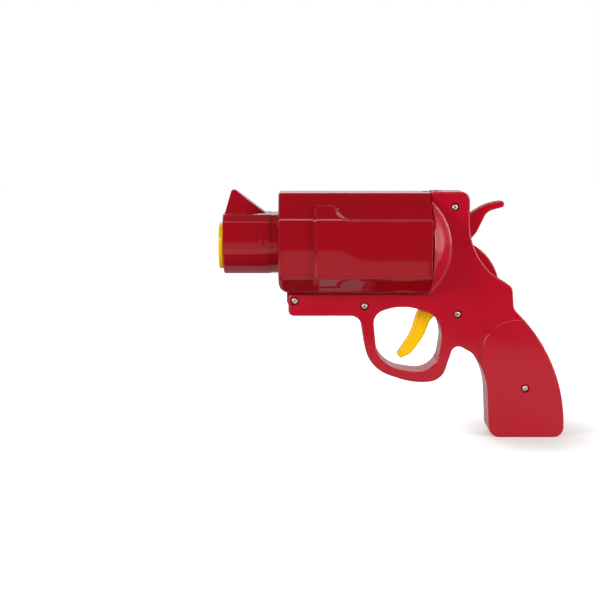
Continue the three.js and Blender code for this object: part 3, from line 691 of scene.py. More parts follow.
def bearings_for(corners, coarse=1.5, fine=0.3, spread=2.4):
    """Directions round the bore, closer together by the lengthwise edges, the same on both sides."""
    wanted = set(np.arange(-90, 90 + coarse / 2, coarse).round(3))
    for y, z in corners:
        centre = math.degrees(math.atan2(z - BORE_Z, y))
        wanted |= set(np.arange(centre - spread, centre + spread, fine).round(3))
    right = sorted(a for a in wanted if -90 <= a <= 90)
    thinned = [right[0]]
    for a in right[1:]:
        if a - thinned[-1] > fine * 0.6:
            thinned.append(a)
    left = [180 - a for a in reversed(thinned) if abs(a) < 89.9]
    return np.radians(thinned + left)


def eased(start, radius, steps=8):
    """Stations that follow a rounded edge, from its front."""
    return [start + radius * (1 - math.cos(a)) for a in np.linspace(0.06, math.pi / 2, steps)]


HOUSING_HALF = [(10, HOUSING_TOP), (29, 158.4), (29, 117.3), (15, HOUSING_BOTTOM)]
BULGE_HALF = [(23.5, 167.3), (33, 158.4), (33, 117.3), (22.5, 109.8)]
FLUTES = [(31.3, 174.0, 16, 20), (32.0, 101.8, 15, 20)]
CHIN_R = 8.0
HOUSING_FRONT_EDGE = 2.2
HOUSING_LEAN = 0.0047      # draft: how much the sides lean in towards the top
BULGE_LEAN = 0.0113
BULGE_WAVE = (26.0, 44.0)  # where along the bulge its lean changes
BULGE_FRONT_EDGE = 2.8
HOUSING_EDGE = 1.8         # radii of the lengthwise edges, and of those at the ends
HOUSING_TOP_EDGE = 1.6
REAR_EDGE = 0.6
BULGE_EDGE = 1.5
BULGE_CAP_EDGE = 0.5
FLUTE_EDGE = 1.1
HOUSING_BLEND = 0.7
HOUSING_WALL = 2.4
LUG_HALF = 5.5
LUG_TOP = 107.4
CHAMBER_STEPS = [(-20, 14.3), (-9.7, 14.3), (-9.7, 8.6), (-8.5, 8.6), (2.3, 22.4), (19.2, 22.6)]
FLUTE_CORNERS = [(33, 158.1), (15.2, 170.6), (33, 116.8), (19, 109.2)]


def housing_body(x, y, z):
    side = np.abs(y)
    upper, broad, lower, base = HOUSING_HALF
    chin = rounding(x - HOUSING_FRONT, CHIN_R)
    body = round_and(z - HOUSING_TOP, facet(side, z, upper, broad), HOUSING_TOP_EDGE)
    body = round_and(body, side - broad[0] + HOUSING_LEAN * (z - BORE_Z), HOUSING_EDGE)
    body = round_and(body, facet(side, z, lower, base), HOUSING_EDGE)
    body = round_and(body, HOUSING_BOTTOM + chin - z, HOUSING_TOP_EDGE)
    body = round_and(body, HOUSING_FRONT - x, HOUSING_FRONT_EDGE)
    return round_and(body, x - HOUSING_REAR, REAR_EDGE)


def housing_bulge(x, y, z):
    """The part that stands proud round the chamber. Its lean starts at its lower edge, where it is widest."""
    side = np.abs(y)
    upper, broad, lower, base = BULGE_HALF
    slope = np.array((broad[0] - upper[0], upper[1] - broad[1])) / math.dist(upper, broad)
    cap = (z - upper[1]) * slope[1] - (side - upper[0]) * slope[0]
    bulge = round_and(cap, facet(side, z, upper, broad), BULGE_CAP_EDGE)
    lean = HOUSING_LEAN + (BULGE_LEAN - HOUSING_LEAN) * smooth_share(x, *BULGE_WAVE)
    bulge = round_and(bulge, side - broad[0] + lean * (z - lower[1]), BULGE_EDGE)
    bulge = round_and(bulge, facet(side, z, lower, base), BULGE_EDGE)
    bulge = round_and(bulge, base[1] - z, BULGE_EDGE)
    bulge = round_and(bulge, BULGE_FRONT - x, BULGE_FRONT_EDGE)
    bulge = round_and(bulge, x - HOUSING_REAR, REAR_EDGE)
    for y0, z0, radius, front in FLUTES:
        short = np.minimum(x - front - radius, 0)
        flute = np.sqrt((side - y0) ** 2 + (z - z0) ** 2 + short ** 2) - radius
        bulge = round_and(bulge, -flute, FLUTE_EDGE)
    return bulge


def housing_surface(x, y, z):
    return round_or(housing_body(x, y, z), housing_bulge(x, y, z), HOUSING_BLEND)


def housing_stations():
    """Sections along the housing, closer together at its edges and where the flutes start."""
    stations = eased(HOUSING_FRONT, HOUSING_FRONT_EDGE, 12)
    stretches = [
        (HOUSING_FRONT + 3, -6, 0.9),
        (-5, BULGE_FRONT - 1, 2.5),
        (BULGE_FRONT - 0.8, 14.2, 0.35),
        (14.5, 44, 0.9),
        (46, HOUSING_REAR - 2, 3.5),
    ]
    for start, end, step in stretches:
        stations += list(np.arange(start, end, step))
    return stations + [2 * HOUSING_REAR - x for x in reversed(eased(HOUSING_REAR, 0.7, 5))]


def housing_room():
    """The space between the housing's outer wall and the tube that the cartridge sits in."""
    def inner_surface(x, y, z):
        return housing_body(np.clip(x, -5, 60), y, z) + HOUSING_WALL

    stations = list(np.arange(HOUSING_FRONT + 4, HOUSING_REAR + 6, 5.0))
    room = rings_solid(surface_rings(inner_surface, stations, bearings_for(HOUSING_HALF, 3, 1)))
    cut(room, bore_bar(CHAMBER_R + 1.8, HOUSING_FRONT, HOUSING_REAR + 8))
    return cut(room, block(82, 100, -6, 6, 163, 175))


def hinge_lug():
    x, z = BARREL_HINGE
    lug = cross_bar(BARREL_HINGE, LUG_HALF, -LUG_HALF, LUG_HALF)
    return join(lug, block(x - LUG_HALF, x + LUG_HALF, -LUG_HALF, LUG_HALF, z, LUG_TOP))


def chamber():
    """The room for the cartridge, with a widened mouth at the rear."""
    mouth_r = CHAMBER_R + 0.8
    end = HOUSING_REAR + 2
    profile = [(CHAMBER_STEPS[0][0], 0)] + CHAMBER_STEPS
    profile += [(19.6, CHAMBER_R), (HOUSING_REAR - 0.7, CHAMBER_R)]
    profile += [(HOUSING_REAR + 0.1, mouth_r), (end, mouth_r), (end, 0)]
    return turned(profile, 128)


def latch_notch():
    """The notch that the hammer's hook holds, cut to an arc about the barrel hinge."""
    half = HOOK_HALF + 0.5
    notch = block(86, HOUSING_REAR + 2, -half, half, 167, 180)
    return cut(notch, cross_bar(BARREL_HINGE, LATCH_R - 0.2, -10, 10, 256))


def housing_shell():
    bearings = bearings_for(HOUSING_HALF + BULGE_HALF + FLUTE_CORNERS)
    shell = rings_solid(surface_rings(housing_surface, housing_stations(), bearings), "housing")
    cut(shell, housing_room())
    join(shell, hinge_lug())
    cut(shell, chamber())
    return cut(shell, latch_notch(), cross_bar(BARREL_HINGE, 2.9, -THROUGH, THROUGH))


BARREL_TOP = 160.8
FLARE_START = -30.0
FLARE_END = -21.0
FLARE = 0.9
BARREL_BEVEL = [(13, BARREL_TOP), (BARREL_R, 156.0)]
BARREL_WALL = 2.8
NECK_STEP = 0.5
MUZZLE_EDGE = 1.2
MUZZLE_WALL = 2.6
MOUTH_R = 14.3
SPIGOT_R = 14.0
SPIGOT_BORE_R = 11.4
MUZZLE_PLUG_R = 14.0
MUZZLE_HOLE_R = 5.4


def barrel_surface(x, y, z, shrink=0.0):
    """A tube with a round lower half, upright sides and a bevelled top, a little fuller by the housing."""
    side = np.abs(y)
    grow = FLARE * smooth_share(x, FLARE_START, FLARE_END)
    centre = BORE_Z + grow
    radius = BARREL_R + grow
    tube = np.where(z > centre, side, np.hypot(side, z - centre)) - radius
    bevel = facet(side, z, *BARREL_BEVEL) - grow * 0.5
    tube = round_and(tube, bevel, 0.8)
    tube = round_and(tube, z - BARREL_TOP, 1.2)
    neck = np.where(x > BARREL_NECK, NECK_STEP, 0)
    tube = tube + neck + shrink
    return round_and(tube, BARREL_FRONT - x, MUZZLE_EDGE)


SIGHT, SIGHT_INWARD = rounded(FRONT_SIGHT)
SIGHT_HALF = 12.6          # half thickness at its foot, flush with the barrel's bevels
SIGHT_LEAN = 0.58
SIGHT_TOP_HALF = 2.6
SIGHT_TAPER = (-38.0, 0.5)
SIGHT_EDGE = 1.0


def sight_height(points):
    """Half thickness of the front sight: its sides lean in, and it narrows towards the rear."""
    depth = distance_to(SIGHT, points)
    lean = SIGHT_LEAN * np.clip(points[:, 1] - BARREL_TOP, 0, None)
    taper = SIGHT_TAPER[1] * np.clip(points[:, 0] - SIGHT_TAPER[0], 0, None)
    return np.maximum(SIGHT_HALF - lean - taper, SIGHT_TOP_HALF) - rounding(depth, SIGHT_EDGE)


def front_sight():
    loops = edge_loops(SIGHT, SIGHT_INWARD, SIGHT_EDGE)
    lines = [(loop, True) for loop in loops[1:]]
    foot = np.array([(-56, BARREL_TOP), (-16, BARREL_TOP)])
    shoulder = np.array([(SIGHT_TAPER[0], BARREL_TOP - 8), (SIGHT_TAPER[0], BARREL_TOP + 20)])
    lines += [(foot, False), (shoulder, False)]
    return solid(*relief([loops[0]], [], lines, sight_height, lambda p: -sight_height(p)))


def barrel_shell():
    stations = eased(BARREL_FRONT, MUZZLE_EDGE) + list(np.arange(BARREL_FRONT + 2, FLARE_START, 3.0))
    stations += list(np.arange(FLARE_START, FLARE_END + 0.5, 0.7)) + [BARREL_NECK, BARREL_NECK + 0.05]
    stations += [HOUSING_FRONT - CLEARANCE]
    bearings = bearings_for(BARREL_BEVEL, 2.5)
    shell = rings_solid(surface_rings(barrel_surface, stations, bearings), "barrel")
    join(shell, front_sight())
    wall_back = BARREL_FRONT + MUZZLE_WALL

    def inner_surface(x, y, z):
        return barrel_surface(np.clip(x, wall_back, None), y, z, BARREL_WALL)

    inner = [wall_back, FLARE_START, HOUSING_FRONT - 3]
    hollow = rings_solid(surface_rings(inner_surface, inner, bearings_for(BARREL_BEVEL, 4, 1)))
    cut(shell, hollow, bore_bar(MOUTH_R, BARREL_FRONT - 1, BARREL_FRONT + 4))
    join(shell, bore_bar(SPIGOT_R, HOUSING_FRONT - 4, -10.2))
    return cut(shell, bore_bar(SPIGOT_BORE_R, HOUSING_FRONT - 5, -9))


def muzzle_ring():
    """The yellow ring and the plug behind it that the nozzle's tip pokes through."""
    front, back = MUZZLE_RING_FRONT, BARREL_FRONT - CLEARANCE
    plug_back = BARREL_FRONT + 6
    profile = [(front, 11.5), (front, RING_R), (back, RING_R), (back, MUZZLE_PLUG_R)]
    profile += [(plug_back, MUZZLE_PLUG_R), (plug_back, MUZZLE_HOLE_R), (BARREL_FRONT + 1, MUZZLE_HOLE_R)]
    return turned(softened(profile, 0.4), 128)


# ------------------------------------------------------------------ firing parts

def plate(corners, half, edge, recess=None):
    """An outline given thickness both ways, with rounded edges and an optional shallow panel."""
    points, inward = rounded(corners)
    loops = edge_loops(points, inward, edge)
    lines = [(loop, True) for loop in loops[1:]]
    if recess:
        rim, slope, drop = recess
        for share in np.linspace(0, 1, 6):
            lines.append((points + inward * (rim + slope * share), True))

    def height(spots):
        depth = distance_to(points, spots)
        tall = half - rounding(depth, edge)
        if recess:
            tall = tall - drop * smooth_share(depth, rim, rim + slope)
        return tall

    return solid(*relief([loops[0]], [], lines, height, lambda p: -height(p)))


TONGUE = [
    (102.4, 118.8, 1.0),
    (108.2, 118.8, 1.0),
    (109.6, 104.0, 4),
    (104.2, 95.2, 1),
    (99.6, 95.4, 1),
    (101.2, 104.0, 4),
]
TONGUE_HALF = 1.9
LEVER_ARM = [
    (99.2, 109.6, 3),
    (97.8, 127.4, 4),
    (95.0, 134.0, 3),
    (97.0, 139.6, 2),
    (107.0, 128.0, 8),
    (112.0, 109.0, 3),
]
LEVER_PAD = (96.2, BORE_Z)
LEVER_PAD_R = 3.5
LEVER_RIM_EDGE = 1.3
SPRING_PEG = (102.0, 119.6)
HAMMER_HOOK = [
    (103.4, 162.0, 0.3),
    (97.0, 167.4, 2),
    (86.4, 168.6, 0.3),
    (86.4, 174.9, 0.3),
    (97.4, 174.9, 0.5),
    (99.2, 171.4, 0.3),
    (108.4, 171.2, 0.3),
]
HAMMER_HUB_R = 6.4
HAMMER_PIVOT_R = 3.6


def axle_hole():
    return cross_bar(LEVER_PIVOT, AXLE_R + PIVOT_GAP, -THROUGH, THROUGH)


def trigger():
    """The yellow blade, with a shallow panel in each side, and the tongue that keys it to the lever."""
    blade = plate(TRIGGER_BLADE, TRIGGER_HALF, 1.1, recess=(1.6, 1.1, 0.4))
    cut(blade, cross_bar(LEVER_PIVOT, LEVER_HUB_R + 0.9, -10, 10))
    join(blade, plate(TONGUE, TONGUE_HALF, 0.3))
    return cut(blade, axle_hole())


def push_lever():
    """A disc sector that bulges from the back of the frame, and the arm that pushes the plunger."""
    lever = cross_bar(LEVER_PIVOT, LEVER_HUB_R, -LEVER_HALF, LEVER_HALF)
    join(lever, sector(*SECTOR_ANGLES), plate(LEVER_ARM, LEVER_HALF, 0.6))
    join(lever, cross_bar(LEVER_PAD, LEVER_PAD_R, -LEVER_HALF, LEVER_HALF))
    join(lever, cross_bar(SPRING_PEG, 1.0, 0, LEVER_HALF + 2, 24))
    return cut(lever, plate(TONGUE, TONGUE_HALF + CLEARANCE, 0.3), axle_hole())


def sector(start, end):
    """The part of a disc about the lever pivot between two angles, with a rounded rim."""
    edge = LEVER_RIM_EDGE
    x, z = LEVER_PIVOT
    rim = [(SECTOR_R - edge + edge * math.sin(a), LEVER_HALF - edge + edge * math.cos(a))
           for a in np.linspace(0, math.pi / 2, 7)]
    profile = [(0.5, LEVER_HALF)] + rim + [(r, -y) for r, y in reversed(rim)] + [(0.5, -LEVER_HALF)]
    rings = []
    for turn in np.radians(np.linspace(start, end, 49)):
        rings.append(np.array([(x + r * math.cos(turn), y, z + r * math.sin(turn)) for r, y in profile]))
    return rings_solid(rings)


def plunger():
    """A disc against the cartridge, with two rails that run back past the lever."""
    front, back, radius = PLUNGER_FRONT, PLUNGER_BACK, PLUNGER_R
    profile = [(front, 0), (front, radius - 0.6), (front + 0.6, radius)]
    profile += [(back - 0.3, radius), (back, radius - 0.3), (back, 0)]
    disc = turned(profile, 96)
    for side in (-1, 1):
        rail_z = (BORE_Z - RAIL_HALF_HEIGHT, BORE_Z + RAIL_HALF_HEIGHT)
        join(disc, block(back - 1, RAIL_END, *on_side(side, RAIL_Y), *rail_z))
    return disc


def hammer():
    """The thumb spur on its hub, with the hook that holds the barrel and a ridge on top of it."""
    body = plate(HAMMER_BODY, HAMMER_HALF, 1.2)
    hook = plate(HAMMER_HOOK, HOOK_HALF, 0.3)
    cut(hook, cross_bar(BARREL_HINGE, LATCH_R + 0.2, -10, 10, 256))
    join(body, cross_bar(HAMMER_PIVOT, HAMMER_HUB_R, -HAMMER_HALF, HAMMER_HALF), hook)
    join(body, block(95.4, 96.8, -HOOK_HALF, HOOK_HALF, FRAME_TOP - 1.4, FRAME_TOP + 0.6))
    return cut(body, cross_bar(HAMMER_PIVOT, HAMMER_PIVOT_R + CLEARANCE, -THROUGH, THROUGH))


# ------------------------------------------------------------------ screws, axle and springs

CROWN = 1.3
CROSS_REACH = 1.4
CROSS_HALF = 0.42
CROSS_TURN = 0.35          # radians
CROSS_TAPER = 0.6
SCREW_SEAT_GAP = 0.15
SCREW_HEAD_HEIGHT = 1.8
SCREW_TIP = -6.0           # the shank's end, past the seam
THREAD_PITCH = 1.1
THREAD_TURNS = 12


def thread(seat):
    """(Distance outwards, radius) points of the threaded shank, up to just under the head."""
    points = [(SCREW_TIP, 0.2), (SCREW_TIP, 0.9)]
    for k in range(THREAD_TURNS):
        start = SCREW_TIP + 0.4 + k * THREAD_PITCH
        crest = [start + THREAD_PITCH * share for share in (0.45, 0.55)]
        points += [(start, 1.0)] + [(depth, SCREW_SHANK_R) for depth in crest]
    return [p for p in points if p[0] < seat - 0.2]


def screw_head(seat):
    """(Distance outwards, radius) points of the head, with a domed crown."""
    points = [(seat, SCREW_SHANK_R), (seat, SCREW_HEAD_R - 0.1), (seat + 0.1, SCREW_HEAD_R)]
    for a in np.linspace(0, math.pi / 2, 8):
        points.append((seat + 0.7 + 1.1 * math.sin(a), SCREW_HEAD_R - CROWN * (1 - math.cos(a))))
    return points + [(seat + SCREW_HEAD_HEIGHT, 0.05)]


def cross_bit(at, top, turn):
    """One slot of the cross recess, narrower at its floor."""
    along = np.array((math.cos(turn), math.sin(turn)))
    across = np.array((-along[1], along[0]))
    rings = []
    for reach, depth in ((CROSS_REACH, -top - 0.5), (CROSS_REACH * CROSS_TAPER, -top + 1.2)):
        corners = [at + along * reach * a + across * CROSS_HALF * b
                   for a, b in ((-1, -1), (1, -1), (1, 1), (-1, 1))]
        rings.append(np.array([(x, depth, z) for x, z in corners]))
    return rings_solid(rings)


def screw(at, face):
    """A pan-head screw with a cross recess, its head outwards at -Y."""
    seat = face - COUNTERBORE_DEPTH + SCREW_SEAT_GAP
    made = stepped_bar(at, [(-depth, radius) for depth, radius in thread(seat) + screw_head(seat)])
    for turn in (CROSS_TURN, CROSS_TURN + math.pi / 2):
        cut(made, cross_bit(np.array(at), seat + SCREW_HEAD_HEIGHT, turn))
    return made


def tube(points, radius, sides=12):
    """A wire along a line of points, as a closed solid."""
    points = np.array(points, float)
    ahead = np.gradient(points, axis=0)
    ahead /= np.linalg.norm(ahead, axis=1)[:, None]
    normal = np.cross(ahead[0], (0.3, 0.9, 0.2))
    rings = []
    for place, direction in zip(points, ahead):
        normal = normal - direction * normal.dot(direction)
        normal /= np.linalg.norm(normal)
        other = np.cross(direction, normal)
        turns = np.linspace(0, 2 * math.pi, sides, endpoint=False)
        rings.append(place + radius * (np.outer(np.cos(turns), normal) + np.outer(np.sin(turns), other)))
    return rings_solid(rings)


def hammer_spring():
    """A coil along the bore's direction, under the hammer."""
    start, length, height, coil_r, coils = 99.4, 7.4, 152.2, 2.3, 4
    steps = np.linspace(0, 1, 160)
    turns = steps * coils * 2 * math.pi
    x = start + length * steps
    return tube(np.column_stack([x, coil_r * np.cos(turns), height + coil_r * np.sin(turns)]), 0.35)


def trigger_spring():
    """A torsion spring on the lever pivot: one leg up the lever, the other under a rib of the frame."""
    x, z = LEVER_PIVOT
    coil_r, low, high, coils = 5.3, 5.2, 8.1, 3.25
    steps = np.linspace(0, 1, 180)
    turns = math.pi + steps * coils * 2 * math.pi
    y = low + (high - low) * steps
    coil = np.column_stack([x + coil_r * np.cos(turns), y, z + coil_r * np.sin(turns)])
    first = [(x - coil_r, low, z + height) for height in np.linspace(16, 1, 16)]
    last = [(x + reach, high, z - coil_r) for reach in np.linspace(1, 11, 12)]
    return tube(np.concatenate([first, coil, last]), 0.4)


# ------------------------------------------------------------------ cartridge

NOZZLE_END = 20.0
BOTTLE_START = NOZZLE_END + CLEARANCE
BOTTLE_END = 63.2
BOTTLE_R = 25.4
BOTTLE_WALL_R = 24.0
BELLOWS_START = 63.5
BELLOWS_END = 89.9
BELLOWS_BORE_R = 21.2
FOLDS = 5
FOLD_STEPS = 14
FOLD_SHARPNESS = 2.2       # higher makes the folds' crests and roots flatter


def turned_smooth(corners, degrees):
    """A profile of (X, radius, corner radius) turned about the bore."""
    points, _ = rounded(corners, math.radians(degrees), 1000)
    return turned([tuple(p) for p in points], 96)


def cartridge_nozzle():
    tip, cone, shoulder, end = -53.0, -9.0, 2.5, NOZZLE_END
    outside = [(tip, 2.4, 0.4), (tip, 4.0, 0.5), (cone, 7.3, 3.0), (shoulder, 21.1, 1.6), (end, 21.8, 0.4)]
    inside_cone = [(end, 20.3, 0.2), (shoulder + 1, 19.8, 1.0), (cone + 1.2, 5.8, 2.0)]
    return turned_smooth(outside + inside_cone, 15)


def cartridge_bottle():
    """The rigid wall, with the neck that goes up inside the nozzle."""
    start, end, shoulder = BOTTLE_START, BOTTLE_END, NOZZLE_END + 1.8
    neck = [(6, 17.6, 0.2), (6, 19.2, 0.2), (start, 19.6, 0.2)]
    outside = neck + [(start, BOTTLE_R, 0.9), (end, BOTTLE_R, 0.4)]
    hollow = [(end, BOTTLE_WALL_R, 0.2), (shoulder, BOTTLE_WALL_R, 0.3), (shoulder, 18.0, 0.2)]
    return turned_smooth(outside + hollow, 18)


def cartridge_bellows():
    """Five round folds and the closed end that the plunger pushes."""
    start, end = BELLOWS_START, BELLOWS_END
    pitch = (end - start) / FOLDS
    mean, swing = 23.9, 1.4
    outer = []
    for k in range(FOLDS * FOLD_STEPS):
        wave = math.cos(2 * math.pi * k / FOLD_STEPS)
        share = math.tanh(FOLD_SHARPNESS * wave) / math.tanh(FOLD_SHARPNESS)
        outer.append((start + pitch * k / FOLD_STEPS, mean - swing * share))
    outer += [(end - 0.4, 22.7), (end, 22.2), (end, 0.2)]
    inner = [(end - 1.4, 0.2), (end - 1.4, BELLOWS_BORE_R), (start, BELLOWS_BORE_R)]
    return turned(outer + inner, 96)


# ------------------------------------------------------------------ materials

def feed(tree, node, inputs):
    """Sets each named input of a node, or links it where it is given a socket."""
    for name, given in inputs.items():
        if isinstance(given, bpy.types.NodeSocket):
            tree.links.new(given, node.inputs[name])
        else:
            node.inputs[name].default_value = given
    return node


def add(tree, kind, inputs=None):
    return feed(tree, tree.nodes.new("ShaderNode" + kind), inputs or {})


def principled(name, colour, roughness, metallic=0.0):
    material = bpy.data.materials.new(name)
    material.use_nodes = True
    tree = material.node_tree
    shader = tree.nodes["Principled BSDF"]
    feed(tree, shader, {"Base Color": (*colour, 1), "Roughness": roughness, "Metallic": metallic, "IOR": 1.5})
    return material, tree, shader


def place_in_frame(tree):
    return add(tree, "TexCoord").outputs["Object"]


def noise(tree, scale, detail=3.0):
    """Noise in the shared frame, with features about 1 / scale metres across."""
    texture = add(tree, "TexNoise", {"Scale": scale, "Detail": detail, "Vector": place_in_frame(tree)})
    return texture.outputs["Fac"]


def remap(tree, value, start, end, low, high):
    """A value remapped in a straight line, held at its ends."""
    node = add(tree, "MapRange", {"From Min": start, "From Max": end, "To Min": low, "To Max": high})
    tree.links.new(value, node.inputs["Value"])
    return node


def spread(tree, value, low, high):
    """A noise value, spread over a range."""
    return remap(tree, value, 0.3, 0.7, low, high).outputs["Result"]


def tinted(tree, shader, colour, value, shift):
    """Lets the colour wander a little, from darker to lighter."""
    mix = tree.nodes.new("ShaderNodeMix")
    mix.data_type = "RGBA"
    dark = (*(c * (1 - shift) for c in colour), 1)
    light = (*(min(1, c * (1 + shift)) for c in colour), 1)
    feed(tree, mix, {"A": dark, "B": light, "Factor": value})
    feed(tree, shader, {"Base Color": mix.outputs["Result"]})


def bumps(tree, shader, layers):
    """Bump from several noises, each given as (scale, depth in metres, strength)."""
    normal = None
    for scale, depth, strength in layers:
        bump = add(tree, "Bump", {"Distance": depth, "Strength": strength, "Height": noise(tree, scale, 2.0)})
        if normal:
            tree.links.new(normal, bump.inputs["Normal"])
        normal = bump.outputs["Normal"]
    tree.links.new(normal, shader.inputs["Normal"])


def moulded(name, colour, gloss, subsurface=0.0, shine=0.5, wave=0.03):
    """Glossy moulded plastic: faint waves from cooling, a fine skin and uneven gloss."""
    material, tree, shader = principled(name, colour, gloss[0])
    tinted(tree, shader, colour, spread(tree, noise(tree, 30), 0, 1), 0.03)
    bumps(tree, shader, [(26, 0.0015, wave), (900, 0.00002, 0.06)])
    feed(tree, shader, {
        "Roughness": spread(tree, noise(tree, 60, 5), *gloss),
        "Specular IOR Level": shine,
        "Subsurface Weight": subsurface,
        "Subsurface Radius": (0.004, 0.002, 0.0006),
        "Subsurface Scale": 1.0,
    })
    return material


def plated_steel(name, colour, roughness):
    material, tree, shader = principled(name, colour, roughness, metallic=1.0)
    tinted(tree, shader, colour, spread(tree, noise(tree, 1500), 0, 1), 0.2)
    feed(tree, shader, {"Roughness": spread(tree, noise(tree, 2500, 4), roughness, roughness + 0.2)})
    bumps(tree, shader, [(3000, 0.00003, 0.4)])
    return material


RED = moulded("red_gloss_plastic", (0.44, 0.003, 0.016), (0.12, 0.18))
DEEP_RED = moulded("deep_red_gloss_plastic", (0.312, 0.003, 0.009), (0.01, 0.03), wave=0.015)
YELLOW = moulded("yellow_gloss_plastic", (1.0, 0.55, 0.001), (0.12, 0.2), 0.05, 0.25)
CREAM = moulded("cream_soft_plastic", (0.80, 0.66, 0.30), (0.3, 0.42), 0.35)
SCREW_STEEL = plated_steel("screw_steel", (0.78, 0.74, 0.70), 0.24)
SPRING_STEEL = plated_steel("spring_steel", (0.5, 0.5, 0.52), 0.22)


# ------------------------------------------------------------------ the object

LOOKS = {
    "red": (RED, "red_plastic"),
    "deep_red": (DEEP_RED, "red_plastic"),
    "yellow": (YELLOW, "yellow_plastic"),
    "cream": (CREAM, "cream_plastic"),
    "screw": (SCREW_STEEL, "screw_steel"),
    "spring": (SPRING_STEEL, "spring_steel"),
}


def lever_axle():
    return cross_bar(LEVER_PIVOT, AXLE_R, -AXLE_HALF, AXLE_HALF)


def build():
    for node, side in (("frame_left", -1), ("frame_right", 1)):
        stands_for(frame_half(side), node, "frame", *LOOKS["red"])
    for node, (at, face) in SCREWS.items():
        stands_for(screw(at, face), node, "frame", *LOOKS["screw"])
    rest = [
        (lever_axle, "lever_axle", "frame", "screw"),
        (trigger_spring, "trigger_spring", "frame", "spring"),
        (hammer_spring, "hammer_spring", "frame", "spring"),
        (housing_shell, "cylinder_housing", "barrel_assembly", "deep_red"),
        (barrel_shell, "barrel", "barrel_assembly", "deep_red"),
        (muzzle_ring, "muzzle_ring", "barrel_assembly", "yellow"),
        (trigger, "trigger", "trigger_lever", "yellow"),
        (push_lever, "push_lever", "trigger_lever", "red"),
        (plunger, "plunger", "plunger", "red"),
        (hammer, "hammer", "hammer", "red"),
        (cartridge_nozzle, "cartridge_nozzle", "barrel_assembly", "yellow"),
        (cartridge_bottle, "cartridge_bottle", "barrel_assembly", "cream"),
        (cartridge_bellows, "cartridge_bellows", "barrel_assembly", "cream"),
    ]
    for make, node, body, look in rest:
        piece = stands_for(make(), node, body, *LOOKS[look])
    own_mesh(piece)


build()

# ------------------------------------------------------------------ floor, light and camera

FLOOR_NEAR = -0.84
FLOOR_FAR = 3.0
FLOOR_HALF_WIDTH = 2.5
FLOOR_COLOUR = (0.62, 0.62, 0.62)
# The floor's camera-only glow is dimmed round the grip's foot: a painted shadow, not a cast one.
FLOOR_GLOW_IN_PAINTED_SHADOW = 0.28          # at the grip's foot; it rises to FLOOR_LIT away from it
FLOOR_LIT = 0.9
GRIP_FOOT = (0.106, 0, 0)
PAINTED_SHADOW_REACH = (0.02, 0.10)
BACK_LIGHT = 0.68
FRONT_LIGHT = 0.05
CARD_HEIGHT = 0.001
WHITE = (1, 1, 1, 1)


def light_path(tree, output):
    return add(tree, "LightPath").outputs[output]


def stage_sheet(name, corners, material, height=0.0):
    """A flat sheet that is part of the set and not of the object."""
    mesh = bpy.data.meshes.new(name)
    mesh.from_pydata([(x, y, height) for x, y in corners], [], [(0, 1, 2, 3)])
    mesh.materials.append(material)
    sheet = bpy.data.objects.new(name, mesh)
    bpy.context.scene.collection.objects.link(sheet)
    return sheet


def rectangle(left, right, front, back):
    return [(left, front), (right, front), (right, back), (left, back)]


def floor_glow_with_painted_shadow(tree):
    """White away from the grip's foot and dimmer next to it, for the camera only: the dim patch is a painted
    shadow.
    """
    away = tree.nodes.new("ShaderNodeVectorMath")
    away.operation = "DISTANCE"
    away.inputs[1].default_value = GRIP_FOOT
    tree.links.new(place_in_frame(tree), away.inputs[0])
    # Painted shadow: the glow is lowest at the grip's foot and rises away from it.
    rise = remap(tree, away.outputs["Value"], *PAINTED_SHADOW_REACH, FLOOR_GLOW_IN_PAINTED_SHADOW, FLOOR_LIT)
    rise.interpolation_type = "SMOOTHSTEP"
    glow = tree.nodes.new("ShaderNodeMath")
    glow.operation = "MULTIPLY"
    tree.links.new(light_path(tree, "Is Camera Ray"), glow.inputs[0])
    tree.links.new(rise.outputs["Result"], glow.inputs[1])
    return glow.outputs["Value"]


def backdrop():
    """A pale floor that ends in front of the object, as a studio table does, with a painted shadow at the
    grip's foot.
    """
    material, tree, shader = principled("pale_floor", FLOOR_COLOUR, 0.7)
    tinted(tree, shader, FLOOR_COLOUR, noise(tree, 3), 0.004)
    # The camera-only glow carries the painted shadow by the grip's foot.
    glow = floor_glow_with_painted_shadow(tree)
    feed(tree, shader, {"Specular IOR Level": 0.0, "Emission Color": WHITE, "Emission Strength": glow})
    corners = rectangle(-FLOOR_HALF_WIDTH, FLOOR_HALF_WIDTH, FLOOR_NEAR, FLOOR_FAR)
    stage_sheet("floor", corners, material)


def card(name, corners, glow=0.0):
    """A card on the table that only shows in reflections, black or lit, as a photographer lays them."""
    material, tree, shader = principled(name + "_face", (0.02, 0.02, 0.02), 0.9)
    feed(tree, shader, {"Emission Color": WHITE, "Emission Strength": glow})
    sheet = stage_sheet(name, corners, material, CARD_HEIGHT)
    sheet.visible_camera = False
    sheet.visible_diffuse = False
    sheet.visible_shadow = False


def cards():
    """Black cards keep the undersides and the frame deep red; a lit one puts a band along the housing."""
    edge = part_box("cylinder_housing")[0].x
    card("card_below_barrel", rectangle(cad_low.x - 0.04, edge, -0.245, -0.023))
    card("card_below_housing", rectangle(edge, edge + 0.03, -0.02, 0.15))
    card("card_ahead", rectangle(edge - 0.01, 0.30, FLOOR_NEAR, -0.34))
    card("card_lit", [(-0.5, -1.36), (0.171, -1.36), (0.113, FLOOR_NEAR), (-0.5, FLOOR_NEAR)], 0.40)


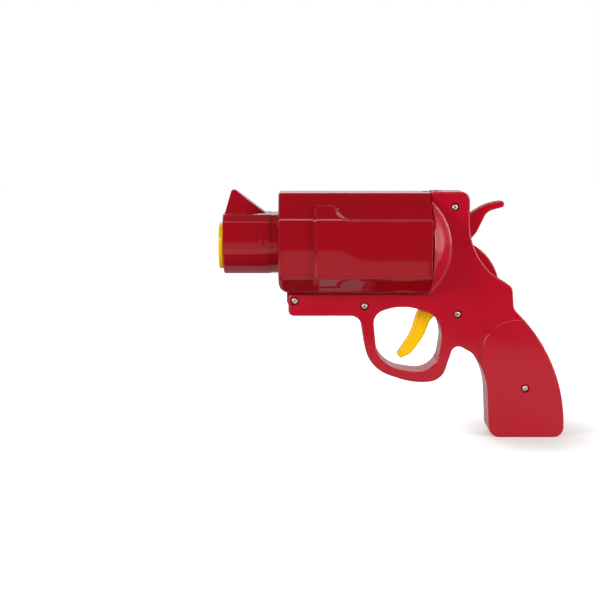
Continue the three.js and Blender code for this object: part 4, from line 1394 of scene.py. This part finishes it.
def surroundings():
    """White to the camera; as light, bright behind the object and dim in front and overhead."""
    world = bpy.data.worlds.new("studio")
    bpy.context.scene.world = world
    world.use_nodes = True
    tree = world.node_tree
    tree.nodes.clear()
    split = add(tree, "SeparateXYZ", {"Vector": add(tree, "TexCoord").outputs["Generated"]})
    ahead = remap(tree, split.outputs["Y"], 0.2, 0.8, FRONT_LIGHT, BACK_LIGHT)
    light = add(tree, "Background", {"Color": WHITE, "Strength": ahead.outputs["Result"]})
    seen = add(tree, "Background", {"Color": WHITE, "Strength": 1.0})
    mix = add(tree, "MixShader", {"Fac": light_path(tree, "Is Camera Ray")})
    tree.links.new(light.outputs["Background"], mix.inputs[1])
    tree.links.new(seen.outputs["Background"], mix.inputs[2])
    add(tree, "OutputWorld", {"Surface": mix.outputs["Shader"]})


def softbox(name, place, target, size, watts):
    data = bpy.data.lights.new(name, "AREA")
    data.shape = "RECTANGLE"
    data.size, data.size_y = size
    data.energy = watts
    lamp = bpy.data.objects.new(name, data)
    lamp.location = place
    lamp.rotation_euler = (Vector(target) - Vector(place)).to_track_quat("-Z", "Y").to_euler()
    bpy.context.scene.collection.objects.link(lamp)


def lights():
    middle = (cad_low + cad_high) / 2
    softbox("left", (-1.0, -0.65, 0.45), middle, (0.35, 0.45), 9)
    softbox("right", (1.0, -0.6, 0.45), middle, (0.5, 0.8), 9)
    softbox("side", (1.0, 0.1, 0.25), middle, (0.9, 0.6), 2.4)
    softbox("front", (0.0, -1.1, 0.95), middle, (1.4, 0.35), 6)
    softbox("back", (0.0, 1.2, 1.1), middle, (1.6, 0.5), 8)


def camera():
    """Level with the gun's left side and a little above it, with a long lens."""
    pitch = math.radians(8.7)
    distance = 0.859
    aim_height = 0.0979
    aim = Vector((DRAWING_SHIFT * MM, 0, aim_height))
    data = bpy.data.cameras.new("camera")
    data.sensor_width = 36
    data.lens = 72
    view = bpy.data.objects.new("camera", data)
    view.location = aim + Vector((0, -math.cos(pitch), math.sin(pitch))) * distance
    view.rotation_euler = (math.pi / 2 - pitch, 0, 0)
    bpy.context.scene.collection.objects.link(view)
    bpy.context.scene.camera = view


backdrop()
cards()
surroundings()
lights()
camera()
bpy.context.scene.view_settings.view_transform = "Standard"
